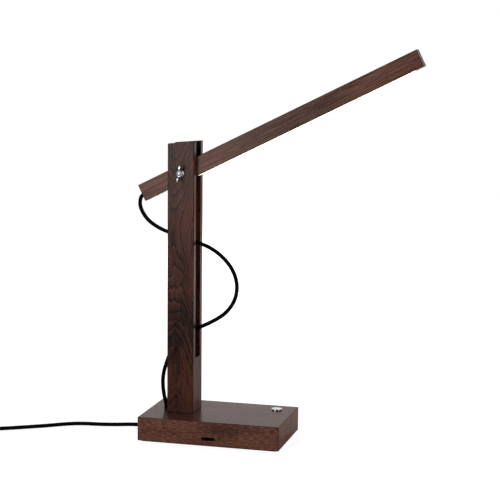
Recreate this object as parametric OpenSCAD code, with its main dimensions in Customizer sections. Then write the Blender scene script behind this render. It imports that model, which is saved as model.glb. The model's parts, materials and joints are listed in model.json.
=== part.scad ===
// Wooden table lamp: a block base, a slotted post, and a lit arm that tilts on a wing-nut pivot.
// Millimetres. The origin is the middle of the base on the table. +X runs towards the arm's tip, +Z is up.

/* [Base] */
// Length of the base block
base_l = 220; // [200:1:280]
// Depth of the base block
base_d = 132; // [126:1:170]
// Height of the base block
base_h = 36.5; // [36:0.5:50]
// Thickness of the block's walls round its pocket
base_wall = 14; // [13:0.5:17]
// Thickness of the wood above the pocket
base_top = 10; // [8:0.5:11]
// Rounding of the wooden edges
edge_r = 1; // [0.5:0.1:2]
// Thickness of the steel plate that closes the pocket
plate_t = 2.5; // [2:0.1:3]
// How far the plate reaches under the block's walls
plate_lip = 8; // [7:0.5:9]
// Thickness of the non-slip sheet
pad_t = 1.5; // [1:0.1:3]
// How far the non-slip sheet lies inside the block's outline
pad_inset = 4; // [2:0.5:8]
// Diameter of the plate's screws
plate_screw_d = 3.5; // [3:0.1:4]
// Length of the plate's screws
plate_screw_l = 16; // [12:1:24]

/* [Inside the base] */
// Depth of the ballast slab
ballast_d = 88; // [50:1:94]
// Height of the ballast slab
ballast_h = 12; // [6:1:14]
// Length of the power supply
supply_l = 70; // [50:1:72]
// Depth of the power supply
supply_d = 40; // [30:1:44]
// Height of the power supply
supply_h = 18; // [12:1:21]
// Length of the control board
board_l = 66; // [50:1:80]
// Depth of the control board
board_d = 36; // [30:1:44]
// Thickness of the control board
board_t = 1.6; // [1:0.1:2]
// Distance of the board's screws from its edges
board_screw_inset = 4; // [3.5:0.5:6]
// Diameter of the board's screws
board_screw_d = 2.5; // [2:0.1:3]

/* [Charging socket] */
// Distance of the slot from the middle of the front face
usb_x = 1.5; // [-20:0.5:20]
// Height of the slot's middle above the block's underside
usb_up = 10.3; // [10:0.1:14]
// Width of the slot
usb_slot_w = 22.5; // [18:0.5:24]
// Height of the slot
usb_slot_h = 5; // [4.8:0.1:5.6]
// Thickness of wood left in front of the socket
usb_skin = 3; // [2:0.5:5]
// Width of the socket's mouth
usb_mouth_w = 12.6; // [12.4:0.1:13]
// Height of the socket's mouth
usb_mouth_h = 4.8; // [4.6:0.1:5]
// Depth of the socket
usb_depth = 18; // [16:0.5:22]

/* [Switch] */
// Distance of the button from the base's right end
button_inset_x = 28; // [20:1:40]
// Distance of the button from the base's back
button_inset_y = 28; // [26:1:50]
// Outer diameter of the fluted ring
ring_d = 16.4; // [15:0.1:20]
// Height of the ring above the wood
ring_h = 2.3; // [1.5:0.1:4]
// Number of flutes round the ring
ring_flutes = 8; // [4:1:12]
// Diameter of a flute
flute_d = 3.8; // [2.4:0.1:4.4]
// Turn of the flutes, seen from above
flute_turn = 13; // [0:1:45]
// Diameter of the switch barrel
barrel_d = 12.6; // [12:0.1:13]
// Diameter of the button
button_d = 10; // [8:0.1:10.6]
// How far the button stands above the ring
button_proud = 0.5; // [0.2:0.1:1.5]
// Thickness of the button
button_t = 4; // [3:0.5:5]
// Travel of the button
button_travel = 1.5; // [1:0.1:2]
// Width of the switch housing under the wood
switch_w = 15; // [14:0.5:18]
// Height of the switch housing under the wood
switch_h = 9; // [6:0.5:12]
// Free length of the switch spring
spring_l = 4.5; // [4:0.1:6]
// Outer diameter of the switch spring
spring_d = 7; // [5:0.1:7.4]
// Diameter of the spring's wire
spring_wire = 0.8; // [0.5:0.1:1]
// Number of turns in the spring
spring_turns = 3; // [2:1:4]

/* [Post] */
// Width of the post along the base
post_w = 41.5; // [38:0.5:50]
// Depth of the post
post_d = 46.5; // [40:0.5:52]
// Height of the post at its middle
post_h = 413.5; // [410:0.5:500]
// Distance of the post's middle from the base's left end
post_inset = 54; // [48:1:70]
// Rise of the post's sloping top across its width
post_top_rise = 3.5; // [0:0.5:8]
// Height of the slot's floor above the base
slot_floor = 84; // [75:1:86]
// Diameter of the screws that hold the post
post_screw_d = 6; // [5:0.5:8]
// Length of the screws that hold the post
post_screw_l = 55; // [40:1:70]
// Distance between the two post screws
post_screw_gap = 23; // [18:0.5:24]

/* [Arm] */
// Width of the arm
arm_w = 23; // [20:0.5:24]
// Height of the arm's section
arm_h = 26.5; // [24:0.5:30]
// Length of the arm in front of the pivot
arm_front = 395; // [300:1:450]
// Length of the arm behind the pivot
arm_back = 73.5; // [60:0.5:74]
// Angle of the arm above level
arm_angle = 26.4; // [24:0.2:30]
// Distance of the pivot below the middle of the post's top
pivot_drop = 46; // [45:0.5:55]

/* [Light] */
// Width of the light channel
channel_w = 17; // [14:0.5:18]
// Height of the light channel
channel_h = 7.5; // [6.5:0.5:8]
// Wall of the light channel
channel_wall = 1.2; // [0.8:0.1:1.5]
// Distance from the pivot to the start of the light
light_start = 18; // [10:1:30]
// Distance from the end of the light to the arm's tip
light_end_gap = 15; // [8:1:40]
// Thickness of the diffuser
diffuser_t = 1.5; // [1:0.1:2]
// Width of the light strip
strip_w = 10; // [8:0.5:11]
// Thickness of the light strip
strip_t = 1; // [0.6:0.1:1.2]
// Distance between the light chips
led_pitch = 11; // [8:0.5:20]

/* [Pivot] */
// Diameter of the pivot bolt
bolt_d = 6; // [5:0.5:6.5]
// Wall of the bush in the arm
bush_wall = 1.5; // [1:0.1:1.6]
// Diameter of the friction washers
friction_d = 18; // [14:0.5:22]
// Thickness of the friction washers
friction_t = 0.75; // [0.5:0.05:1]
// Diameter of the front washer
washer_d = 12.5; // [12:0.5:16]
// Thickness of the front washer
washer_t = 1.6; // [1:0.1:2]
// Diameter of the wing nut's hub
hub_d = 11; // [10.4:0.1:12]
// Diameter of the hub's front end
hub_tip_d = 8.4; // [8:0.1:9.6]
// Height of the wing nut's hub
hub_h = 7; // [6:0.5:10]
// Height of the hub's wider foot
hub_foot_h = 1.9; // [1:0.1:3]
// Span of the wings
wing_span = 26.5; // [24:0.5:32]
// Height of the wings
wing_h = 11.5; // [11:0.5:16]
// Thickness of the wings
wing_t = 2.4; // [1.8:0.1:3]
// Lean of the wings from upright, as they are left after tightening
wing_lean = 10; // [0:1:45]
// How far the bolt stands out of the nut
bolt_end = 0.8; // [0.6:0.1:5]
// Diameter of the bolt's domed head
bolt_head_d = 14; // [12:0.5:16]
// Height of the bolt's domed head
bolt_head_h = 3.4; // [2.5:0.1:5]
// Length of the bolt's square neck
bolt_neck_l = 3.5; // [2:0.5:5]

/* [Cords] */
// Diameter of both cords
cord_d = 6; // [5:0.1:6.5]
// Wall of the sleeves that the arm cord runs through
sleeve_wall = 1.4; // [1:0.1:1.8]
// Length of the sleeve in the arm's tail
tail_sleeve_l = 14; // [10:0.5:20]
// Distance of the cord below the arm's middle line
tail_cord_drop = 2.5; // [2:0.1:4]
// Distance from the post's left face to the middle of the arm cord's hole
base_cord_gap = 8.75; // [8.5:0.25:9]
// Height of the mains gland above the block's underside
gland_up = 6.5; // [6.5:0.1:8]
// Diameter of the gland's neck in the wall
gland_d = 7.6; // [7:0.1:7.6]
// Length of the gland outside the wall
gland_l = 16; // [12:1:30]
// Least radius of the coil's turns
coil_r = 22; // [22:0.5:26]
// Space between the coil's turns
coil_space = 0.5; // [0.4:0.1:1]
// Whole loops in the coil, on two layers
coil_loops = 7; // [5:1:9]
// Thickness of the coil's tie
tie_t = 0.8; // [0.6:0.1:1.2]
// Width of the coil's tie
tie_w = 9; // [6:0.5:12]

/* [Plug] */
// Length of the plug's body
plug_l = 32; // [28:1:40]
// Width of the plug's body
plug_w = 27; // [25:0.5:32]
// Length of the plug's strain relief
plug_relief_l = 22; // [20:1:30]
// Diameter of the pins
pin_d = 4; // [4:0.1:5]
// Length of the pins
pin_l = 19; // [17:0.5:22]
// Distance between the pins
pin_gap = 19; // [18:0.5:20]

/* [Hidden] */

$fn = 64;

// Clearances: a turning or sliding fit, pieces that are fixed together, and how far a cutter runs past a face
run_gap = 0.05;
seat_gap = 0.1;
past = 1;

// Heights from the table up
block_z = pad_t;
base_z = block_z + base_h;
plate_z = block_z + plate_t;
ceiling_z = base_z - base_top;
pivot_h = post_h - pivot_drop;
pivot_z = base_z + pivot_h;

// The pocket, the plate and its screws
pocket_l = base_l - 2 * base_wall;
pocket_d = base_d - 2 * base_wall;
plate_l = pocket_l + 2 * plate_lip;
plate_d = pocket_d + 2 * plate_lip;
plate_screw_x = pocket_l / 2 + plate_lip / 2;
plate_screw_y = pocket_d / 2 + plate_lip / 2;
plate_head_h = plate_screw_d / 2;

// The post and its slot
post_x = post_inset - base_l / 2;
slot_w = arm_w + 2 * (friction_t + run_gap);
slot_z = base_z + slot_floor;
post_front = -post_d / 2;
post_head_h = 4;
post_head_d = 2 * post_screw_d;

// Pieces in the pocket stand this far from its walls and from each other. The ballast fills the left end.
inside_gap = 3;
board_x = usb_x - board_l / 2;
board_y = inside_gap - pocket_d / 2;
supply_x = board_x;
supply_y = pocket_d / 2 - inside_gap - supply_d;
ballast_x = inside_gap - pocket_l / 2;
ballast_l = board_x - inside_gap - ballast_x;

// The charging socket sits on the front edge of the board
usb_z = block_z + usb_up;
usb_y = usb_skin - base_d / 2;
usb_body_w = usb_slot_w + 3;
usb_body_h = usb_slot_h + 2.2;
usb_wall_gap = 0.5;
usb_top = usb_z + usb_body_h / 2 + usb_wall_gap;
board_z = usb_z - usb_body_h / 2 - board_t;
spacer_h = board_z - plate_z;
spacer_d = 2 * board_screw_d;
board_screw_l = spacer_h + board_t - seat_gap;

// The switch
button_x = base_l / 2 - button_inset_x;
button_y = base_d / 2 - button_inset_y;
ring_z = base_z + ring_h;
button_z = ring_z + button_proud;
button_foot_z = button_z - button_t;
spring_z = button_foot_z - spring_l;

// The light channel, in the arm's own frame
light_l = arm_front - light_end_gap - light_start;
arm_under = -arm_h / 2;
strip_z = arm_under + channel_h - channel_wall - strip_t;
led_size = [3.5, 2.8, 0.7];
led_count = floor((light_l - led_pitch) / led_pitch);

// The pivot
bush_d = bolt_d + 2 * (run_gap + bush_wall);
washer_y = post_front - run_gap;
nut_y = washer_y - washer_t - run_gap;
wing_tip_r = 3.2;

// The arm cord: sleeves, and a route from the arm's tail to the base, measured from the post's foot.
// Its points are for a pivot at route_pivot_h, and rise with a higher one.
route_pivot_h = 367.5;
sleeve_d = cord_d + 2 * (run_gap + sleeve_wall);
wire_hole_d = 3;
wire_from = [tail_sleeve_l - arm_back - past, -tail_cord_drop - cord_d / 4];
wire_to = [light_start + past, arm_under + channel_h - wire_hole_d / 2];
wire_run = wire_to - wire_from;
cord_hole_x = post_x - post_w / 2 - base_cord_gap;
arm_dir = [cos(arm_angle), 0, sin(arm_angle)];
arm_up = [-sin(arm_angle), 0, cos(arm_angle)];
tail_point = [post_x, 0, pivot_z] - arm_back * arm_dir - tail_cord_drop * arm_up;
arm_cord_points = [
    [-69, 0, 329.6], [-71.3, 0, 325.6], [-72.1, 0, 320.6], [-72, 0, 315.4], [-70.4, 0, 309.6],
    [-67.4, 0, 303.6], [-63.6, 0, 298], [-57.8, 0, 291.8], [-49.2, 0, 285.6], [-37.7, 0, 279.6],
    [-24, 0, 274.5], [-9, 0, 269.8], [6, -1, 265.4], [21, -2, 261.2], [34.5, -3, 257],
    [45.4, -3, 251.6], [54.5, -3, 245.6], [64.7, -3, 236.6], [74, -3, 225.1], [80.6, -3, 211.4],
    [83.2, -3, 197.1], [81.5, -3, 181.9], [75.4, -3, 167.8], [65.2, -3, 155.3], [53.2, -2, 146.2],
    [38.2, -2, 137.6], [24, -1, 130.6], [10, 0, 122.2], [-4, 0, 111.9], [-16, 0, 99.5],
    [-24, 0, 85.5], [-29, 0, 72.5], [-33, 0, 59], [-35, 0, 45], [-34.5, 0, 31], [-32.5, 0, 18.5]
];
arm_cord_route = concat(
    [tail_point + 0.6 * tail_sleeve_l * arm_dir, tail_point, tail_point - 0.2 * cord_d * arm_dir],
    [for (p = arm_cord_points) [post_x + p[0], p[1], base_z + p[2] * pivot_h / route_pivot_h]],
    [for (dz = [cord_d, 0, 0.6 - base_top]) [cord_hole_x, 0, base_z + dz]]
);

// Heights of the coil's two layers, whose tie lies under it
coil_lift = tie_t + seat_gap;
coil_z = coil_lift + cord_d / 2;
coil_pitch = cord_d + coil_space;
coil_top_z = coil_z + coil_pitch;

// The mains lead: a free stretch from the gland along the table, measured from the foot of the left end.
// The heights of its points are above those of a cord that lies on the table.
gland_z = block_z + gland_up;
gland_tip = [-base_l / 2 - gland_l, 0, gland_z];
lie_z = cord_d / 2 + run_gap;
mains_points = [
    [-34, 0, 4.4], [-49, 0, 3.1], [-64, 0, 1.9], [-79, 0, 1], [-94, 0, 0.4], [-109, -0.5, 0.1],
    [-122.5, -4, 0], [-135.5, -10.5, 0], [-147.5, -18.5, 0], [-159, -27, 0], [-171, -35, 0],
    [-183, -42.5, 0], [-196, -50.5, 0], [-210, -59, 0], [-225, -68, 0.2], [-240, -77, 0.5],
    [-255, -86, 0.8], [-270, -95, coil_z - lie_z]
];
mains_route = concat(
    [gland_tip, gland_tip - [cord_d, 0, 0]],
    [for (p = mains_points) [p[0] - base_l / 2, p[1], p[2] + lie_z]]
);

// The coil lies on two layers: it spirals in, climbs half a turn where it turns round, and spirals out
coil_rings = 24;
coil_join = mains_route[len(mains_route) - 1];
coil_dir = unit([for (i = [0, 1]) coil_join[i] - mains_route[len(mains_route) - 2][i]]);
coil_begin = [coil_join[0], coil_join[1], coil_z] + cord_d * [coil_dir[0], coil_dir[1], 0];
coil_angle = atan2(-coil_dir[0], coil_dir[1]) + 180;
coil_sweep = 360 * coil_loops + (coil_angle + 180) % 360;
coil_outer = coil_r + coil_pitch * coil_sweep / 720;
coil_middle = coil_begin - coil_outer * [cos(coil_angle), sin(coil_angle), 0];
coil_steps = ceil(coil_sweep * coil_rings / 360);
coil_turns = [for (i = [0 : coil_steps]) coil_point(i * coil_sweep / coil_steps)];
coil_end = coil_turns[coil_steps] + [0, cord_d, 0];
coil_route = concat([coil_join], coil_turns, [coil_end]);
coil_gap = min([
    for (i = [0 : coil_steps - 1], j = [i + coil_rings * 2 / 3 : coil_steps])
        norm(coil_turns[i] - coil_turns[floor(j)])
]) - cord_d;
echo(coil_least_gap = coil_gap, coil_length = path_length(coil_route));
echo(mains_length = path_length(mains_route), arm_cord_length = path_length(arm_cord_route));

// The plug lies beside the coil, with its cord entry level with the coil's upper layer
plug_t = 2 * coil_top_z;
plug_nose_w = 12;
plug_edge_r = 4;
plug_body_y = coil_end[1] + plug_relief_l;

function unit(v) = v / norm(v);

function path_length(points) =
    len(points) < 2 ? 0 : sum([for (i = [1 : len(points) - 1]) norm(points[i] - points[i - 1])]);

function sum(values) = [for (v = values) 1] * values;

// A point of the coil, so many degrees from its start
function coil_point(sweep) =
    let (
        turn = coil_angle - sweep,
        r = coil_r + coil_pitch * abs(sweep - coil_sweep / 2) / 360,
        climb = max(-90, min(90, sweep - coil_sweep / 2)),
        z = coil_z + coil_pitch * (1 + sin(climb)) / 2
    )
    [coil_middle[0] + r * cos(turn), coil_middle[1] + r * sin(turn), z];

// Direction of a path at one of its points
function path_dir(points, i) =
    unit(points[min(i + 1, len(points) - 1)] - points[max(i - 1, 0)]);

// Corners of a ring of a tube, square to the path
function tube_ring(centre, dir, side, r, sides) =
    let (across = unit(cross(side, dir)), along = cross(dir, across))
    [for (k = [0 : sides - 1]) centre + r * (cos(360 * k / sides) * across + sin(360 * k / sides) * along)];

// A round tube along a path that stays near the plane square to side
module tube(points, d, sides, side) {
    rings = len(points);
    last = (rings - 1) * sides;
    corners = [for (i = [0 : rings - 1]) each tube_ring(points[i], path_dir(points, i), side, d / 2, sides)];
    walls = [
        for (i = [0 : rings - 2], k = [0 : sides - 1])
            let (a = i * sides + k, b = i * sides + (k + 1) % sides)
            each [[a, a + sides, b], [b, a + sides, b + sides]]
    ];
    first_cap = [for (k = [1 : sides - 2]) [0, k, k + 1]];
    last_cap = [for (k = [1 : sides - 2]) [last, last + k + 1, last + k]];
    polyhedron(points = corners, faces = concat(walls, first_cap, last_cap), convexity = 10);
}

// A flat rectangle with round corners
module round_rect(w, h, r) {
    square([w - 2 * r, h], center = true);
    square([w, h - 2 * r], center = true);
    for (x = [-1, 1], y = [-1, 1])
        translate([x * (w / 2 - r), y * (h / 2 - r)])
            circle(r);
}

// A flat slot outline with round ends
module pill(w, h) {
    square([w - h, h], center = true);
    for (x = [-1, 1])
        translate([x * (w - h) / 2, 0])
            circle(h / 2);
}

// A block with every edge rounded, standing on the floor of its frame
module round_block(l, d, h, r) {
    intersection() {
        linear_extrude(h)
            round_rect(l, d, r);
        translate([0, d / 2, h / 2])
            rotate([90, 0, 0])
                linear_extrude(d)
                    round_rect(l, h, r);
        translate([-l / 2, 0, h / 2])
            rotate([90, 0, 90])
                linear_extrude(l)
                    round_rect(d, h, r);
    }
}

// A plain box placed by its lowest corner in X and Z, and centred on Y
module mid_box(x, z, size) {
    translate([x, -size[1] / 2, z])
        cube(size);
}

// A straight tube along +Z
module sleeve(outer_d, inner_d, h) {
    difference() {
        cylinder(d = outer_d, h = h);
        translate([0, 0, -past])
            cylinder(d = inner_d, h = h + 2 * past);
    }
}

// A countersunk screw that points up from its flat head
module countersunk(d, head_d, head_h, l, gap) {
    cylinder(d1 = head_d + 2 * gap, d2 = d + 2 * gap, h = head_h);
    cylinder(d = d + 2 * gap, h = l + gap);
}

// A pan-head screw that points up, with the underside of its head at the origin
module pan_screw(d, head_d, head_h, l) {
    translate([0, 0, -head_h])
        cylinder(d = head_d, h = head_h);
    translate([0, 0, -head_h / 2])
        cylinder(d = d, h = l + head_h / 2);
}

// A shallow dome of a sphere, standing on the floor of its frame
module dome(d, h) {
    ball_r = (d * d / 4 + h * h) / (2 * h);
    intersection() {
        translate([0, 0, h - ball_r])
            sphere(ball_r, $fn = 96);
        cylinder(d = d, h = h + past);
    }
}

// Places children in the arm's frame: X along the arm from the pivot, Z up across it
module in_arm() {
    translate([post_x, 0, pivot_z])
        rotate([0, -arm_angle, 0])
            children();
}

// Places children in the wing nut's frame: Z towards the front along the bolt, Y up
module on_bolt(y) {
    translate([post_x, y, pivot_z])
        rotate([90, 0, 0])
            children();
}

module at_plate_screws() {
    for (x = [-1, 1], y = [-1, 1])
        translate([x * plate_screw_x, y * plate_screw_y, block_z])
            children();
}

module at_post_screws() {
    for (y = [-1, 1])
        translate([post_x, y * post_screw_gap / 2, ceiling_z])
            children();
}

module at_board_screws() {
    for (x = [board_screw_inset, board_l - board_screw_inset],
         y = [board_screw_inset, board_d - board_screw_inset])
        translate([board_x + x, board_y + y, plate_z])
            children();
}

module at_switch(z) {
    translate([button_x, button_y, z])
        children();
}

module base_block() {
    color("#5a3d31")
        difference() {
            translate([0, 0, block_z])
                round_block(base_l, base_d, base_h, edge_r);
            mid_box(-pocket_l / 2, block_z - past, [pocket_l, pocket_d, ceiling_z - block_z + past]);
            mid_box(-plate_l / 2 - seat_gap, block_z - past,
                [plate_l + 2 * seat_gap, plate_d + 2 * seat_gap, plate_t + past]);
            at_plate_screws()
                cylinder(d = plate_screw_d + 2 * seat_gap, h = plate_screw_l + 2 * seat_gap);
            at_post_screws()
                translate([0, 0, -past])
                    cylinder(d = post_screw_d + 2 * seat_gap, h = base_top + 2 * past);
            translate([cord_hole_x, 0, ceiling_z - past])
                cylinder(d = sleeve_d + 2 * seat_gap, h = base_top + 2 * past);
            at_switch(ceiling_z - past)
                cylinder(d = barrel_d + 2 * seat_gap, h = base_top + 2 * past);
            translate([-base_l / 2 - past, 0, gland_z])
                rotate([0, 90, 0])
                    cylinder(d = gland_d + 2 * seat_gap, h = base_wall + 2 * past);
            translate([usb_x, past - base_d / 2 + usb_skin, usb_z])
                rotate([90, 0, 0])
                    linear_extrude(usb_skin + 2 * past)
                        pill(usb_slot_w, usb_slot_h);
            translate([usb_x - usb_body_w / 2 - usb_wall_gap, usb_y, plate_z])
                cube([usb_body_w + 2 * usb_wall_gap, base_wall, usb_top - plate_z]);
        }
}

module base_plate() {
    color("#8d9094")
        difference() {
            mid_box(-plate_l / 2, block_z, [plate_l, plate_d, plate_t]);
            at_plate_screws()
                translate([0, 0, -seat_gap])
                    countersunk(plate_screw_d, 2 * plate_screw_d, plate_head_h, plate_t + past, seat_gap);
        }
}

module base_pad() {
    color("#202022")
        linear_extrude(pad_t)
            round_rect(base_l - 2 * pad_inset, base_d - 2 * pad_inset, 3 * edge_r);
}

module plate_screws() {
    color("#b9bcc0")
        at_plate_screws()
            countersunk(plate_screw_d, 2 * plate_screw_d, plate_head_h, plate_screw_l, 0);
}

module ballast_weight() {
    color("#55585c")
        mid_box(ballast_x, plate_z, [ballast_l, ballast_d, ballast_h]);
}

module power_supply() {
    color("#e4e4e0")
        translate([supply_x, supply_y, plate_z])
            cube([supply_l, supply_d, supply_h]);
}

module control_board() {
    color("#1d5b36")
        difference() {
            translate([board_x, board_y, board_z])
                cube([board_l, board_d, board_t]);
            at_board_screws()
                cylinder(d = board_screw_d + 2 * seat_gap, h = ceiling_z - plate_z);
        }
}

module board_spacers() {
    color("#b08d3c")
        at_board_screws()
            sleeve(spacer_d, board_screw_d + 2 * seat_gap, spacer_h);
}

module board_screws() {
    color("#b9bcc0")
        at_board_screws()
            translate([0, 0, spacer_h + board_t])
                mirror([0, 0, 1])
                    pan_screw(board_screw_d, 2 * board_screw_d, board_screw_d / 2, board_screw_l);
}

module usb_socket() {
    mouth_l = usb_depth - 3;
    tongue = [8, 9, 1.4];
    color("#17171a")
        difference() {
            translate([usb_x - usb_body_w / 2, usb_y, usb_z - usb_body_h / 2])
                cube([usb_body_w, usb_depth, usb_body_h]);
            translate([usb_x - usb_mouth_w / 2, usb_y - past, usb_z - usb_mouth_h / 2])
                cube([usb_mouth_w, mouth_l + past, usb_mouth_h]);
        }
    color("#17171a")
        translate([usb_x - tongue[0] / 2, usb_y + mouth_l - tongue[1], usb_z])
            cube([tongue[0], tongue[1] + past, tongue[2]]);
}

module switch_body() {
    color("#3a3a3d")
        difference() {
            union() {
                at_switch(ceiling_z - past)
                    cylinder(d = barrel_d, h = ring_z - ceiling_z + past - seat_gap);
                at_switch(ceiling_z - switch_h)
                    translate([-switch_w / 2, -switch_w / 2, 0])
                        cube([switch_w, switch_w, switch_h]);
            }
            at_switch(spring_z)
                cylinder(d = button_d + 2 * run_gap, h = base_h);
        }
}

module switch_ring() {
    color("#d8dadc")
        difference() {
            at_switch(base_z)
                sleeve(ring_d, barrel_d + 2 * seat_gap, ring_h);
            for (k = [0 : ring_flutes - 1])
                at_switch(base_z - past)
                    rotate([0, 0, 360 * k / ring_flutes - 90 + flute_turn])
                        translate([ring_d / 2 + 0.2 * flute_d, 0, 0])
                            cylinder(d = flute_d, h = ring_h + past - 0.4);
        }
}

module switch_spring() {
    r = (spring_d - spring_wire) / 2;
    rise = spring_l - 2 * seat_gap - spring_wire;
    steps = 8 * spring_turns;
    color("#c9ccd0")
        tube([
            for (i = [0 : steps])
                [button_x + r * cos(360 * spring_turns * i / steps),
                 button_y + r * sin(360 * spring_turns * i / steps),
                 spring_z + seat_gap + spring_wire / 2 + rise * i / steps]
        ], spring_wire, 6, [0, 0, 1]);
}

module button_cap() {
    color("#e6e8ea")
        at_switch(button_foot_z) {
            cylinder(d = button_d, h = button_t - button_proud);
            translate([0, 0, button_t - button_proud])
                dome(button_d, button_proud);
        }
}

module post() {
    low = base_z + post_h - post_top_rise / 2;
    high = base_z + post_h + post_top_rise / 2;
    color("#4a3129")
        difference() {
            intersection() {
                translate([post_x, 0, base_z])
                    linear_extrude(post_h + post_top_rise)
                        round_rect(post_w, post_d, edge_r);
                translate([post_x, post_d / 2, 0])
                    rotate([90, 0, 0])
                        linear_extrude(post_d)
                            polygon([
                                [-post_w / 2, base_z], [post_w / 2, base_z],
                                [post_w / 2, high], [-post_w / 2, low]
                            ]);
            }
            mid_box(post_x - post_w / 2 - past, slot_z, [post_w + 2 * past, slot_w, high - slot_z + past]);
            on_bolt(post_d / 2 + past)
                cylinder(d = bolt_d + 2 * seat_gap, h = post_d + 2 * past);
            on_bolt(post_d / 2 + past)
                linear_extrude(bolt_neck_l + seat_gap + past)
                    square(bolt_d + 2 * seat_gap, center = true);
            at_post_screws()
                cylinder(d = post_screw_d + 2 * seat_gap, h = post_screw_l + seat_gap);
        }
}

module post_screws() {
    color("#b9bcc0")
        at_post_screws()
            pan_screw(post_screw_d, post_head_d, post_head_h, post_screw_l);
}

module pivot_bolt() {
    shank_l = post_d / 2 - nut_y + hub_h;
    color("#c4c7ca") {
        on_bolt(post_d / 2)
            cylinder(d = bolt_d, h = shank_l);
        on_bolt(post_d / 2 - shank_l)
            cylinder(d = bolt_d, h = bolt_end / 2);
        on_bolt(post_d / 2 - shank_l - bolt_end / 2)
            dome(bolt_d, bolt_end / 2);
        on_bolt(post_d / 2 - bolt_neck_l / 2)
            cube([bolt_d, bolt_d, bolt_neck_l], center = true);
        translate([post_x, post_d / 2, pivot_z])
            rotate([-90, 0, 0])
                dome(bolt_head_d, bolt_head_h);
    }
}

module front_washer() {
    color("#c4c7ca")
        on_bolt(washer_y)
            sleeve(washer_d, bolt_d + 2 * run_gap, washer_t);
}

module wing_nut() {
    root_r = hub_tip_d / 2 - 0.4;
    crest_r = hub_d / 2 + 2;
    tip = [wing_span / 2 - wing_tip_r, wing_h - wing_tip_r];
    color("#d8dadc")
        on_bolt(nut_y)
            difference() {
                union() {
                    cylinder(d1 = hub_d, d2 = hub_tip_d, h = hub_foot_h);
                    cylinder(d = hub_tip_d, h = hub_h);
                    for (turn = [0, 180])
                        rotate([0, 0, turn - wing_lean])
                            rotate([90, 0, 90])
                                linear_extrude(wing_t, center = true) {
                                    polygon([
                                        [root_r, 1],
                                        tip + wing_tip_r * [cos(-40), sin(-40)],
                                        tip + wing_tip_r * [0, 1],
                                        [crest_r, wing_h],
                                        [root_r, hub_h - 0.4]
                                    ]);
                                    translate(tip)
                                        circle(wing_tip_r);
                                }
                }
                translate([0, 0, -past])
                    cylinder(d = bolt_d + 2 * run_gap, h = hub_h + 2 * past);
            }
}

module arm() {
    color("#5c4036")
        in_arm()
            difference() {
                translate([-arm_back, 0, 0])
                    rotate([90, 0, 90])
                        linear_extrude(arm_back + arm_front)
                            round_rect(arm_w, arm_h, edge_r);
                mid_box(light_start - seat_gap, arm_under - past,
                    [light_l + 2 * seat_gap, channel_w + 2 * seat_gap, channel_h + past + seat_gap]);
                rotate([90, 0, 0])
                    cylinder(d = bush_d + 2 * seat_gap, h = arm_w + 2 * past, center = true);
                translate([-arm_back - past, 0, -tail_cord_drop])
                    rotate([0, 90, 0])
                        cylinder(d = sleeve_d + 2 * seat_gap, h = tail_sleeve_l + past);
                translate([wire_from[0], 0, wire_from[1]])
                    rotate([0, 90 - atan2(wire_run[1], wire_run[0]), 0])
                        cylinder(d = wire_hole_d, h = norm(wire_run));
            }
}

module arm_bush() {
    color("#b08d3c")
        in_arm()
            translate([0, arm_w / 2, 0])
                rotate([90, 0, 0])
                    sleeve(bush_d, bolt_d + 2 * run_gap, arm_w);
}

module friction_washers() {
    color("#2b2b2d")
        in_arm()
            for (y = [arm_w / 2 + friction_t, -arm_w / 2])
                translate([0, y, 0])
                    rotate([90, 0, 0])
                        sleeve(friction_d, bolt_d + 2 * seat_gap, friction_t);
}

module led_channel() {
    color("#b6b9bd")
        in_arm()
            difference() {
                mid_box(light_start, arm_under, [light_l, channel_w, channel_h]);
                mid_box(light_start - past, arm_under - past,
                    [light_l + 2 * past, channel_w - 2 * channel_wall, channel_h - channel_wall + past]);
            }
}

module led_strip() {
    color("#f2f2ee")
        in_arm()
            mid_box(light_start, strip_z, [light_l, strip_w, strip_t]);
}

module led_chips() {
    first = light_start + (light_l - (led_count - 1) * led_pitch) / 2;
    color("#f6e7a8")
        in_arm()
            for (k = [0 : led_count - 1])
                mid_box(first + k * led_pitch - led_size[0] / 2, strip_z - led_size[2], led_size);
}

module diffuser() {
    w = channel_w - 2 * (channel_wall + run_gap);
    color("#fff3d6")
        in_arm()
            mid_box(light_start, arm_under, [light_l, w, diffuser_t]);
}

module tail_bush() {
    color("#1a1a1c")
        in_arm()
            translate([-arm_back, 0, -tail_cord_drop])
                rotate([0, 90, 0])
                    sleeve(sleeve_d, cord_d + 2 * run_gap, tail_sleeve_l);
}

module base_cord_bush() {
    flange_t = 1.5;
    color("#1a1a1c")
        translate([cord_hole_x, 0, ceiling_z]) {
            sleeve(sleeve_d, cord_d + 2 * run_gap, base_top);
            translate([0, 0, -flange_t])
                sleeve(sleeve_d + 3, cord_d + 2 * run_gap, flange_t);
        }
}

module arm_cord() {
    color("#151517")
        tube(arm_cord_route, cord_d, 10, [0, 1, 0]);
}

module mains_gland() {
    flange_t = 2;
    collar_l = 2.5;
    tip_d = cord_d + 1.2;
    color("#1a1a1c")
        translate([-base_l / 2, 0, gland_z])
            rotate([0, -90, 0]) {
                translate([0, 0, -base_wall - flange_t])
                    cylinder(d = gland_d, h = base_wall + flange_t);
                translate([0, 0, -base_wall - flange_t])
                    intersection() {
                        cylinder(d = gland_d + 3, h = flange_t);
                        translate([plate_z - gland_z, -gland_d, 0])
                            cube([2 * gland_d, 2 * gland_d, flange_t]);
                    }
                cylinder(d = gland_d + 2.4, h = collar_l);
                translate([0, 0, collar_l])
                    cylinder(d1 = gland_d + 1.4, d2 = tip_d, h = gland_l - collar_l);
            }
}

module mains_cord() {
    color("#151517")
        tube(mains_route, cord_d, 10, [0, 0, 1]);
}

module mains_coil() {
    color("#151517")
        tube(coil_route, cord_d, 6, [0, 0, 1]);
}

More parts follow.
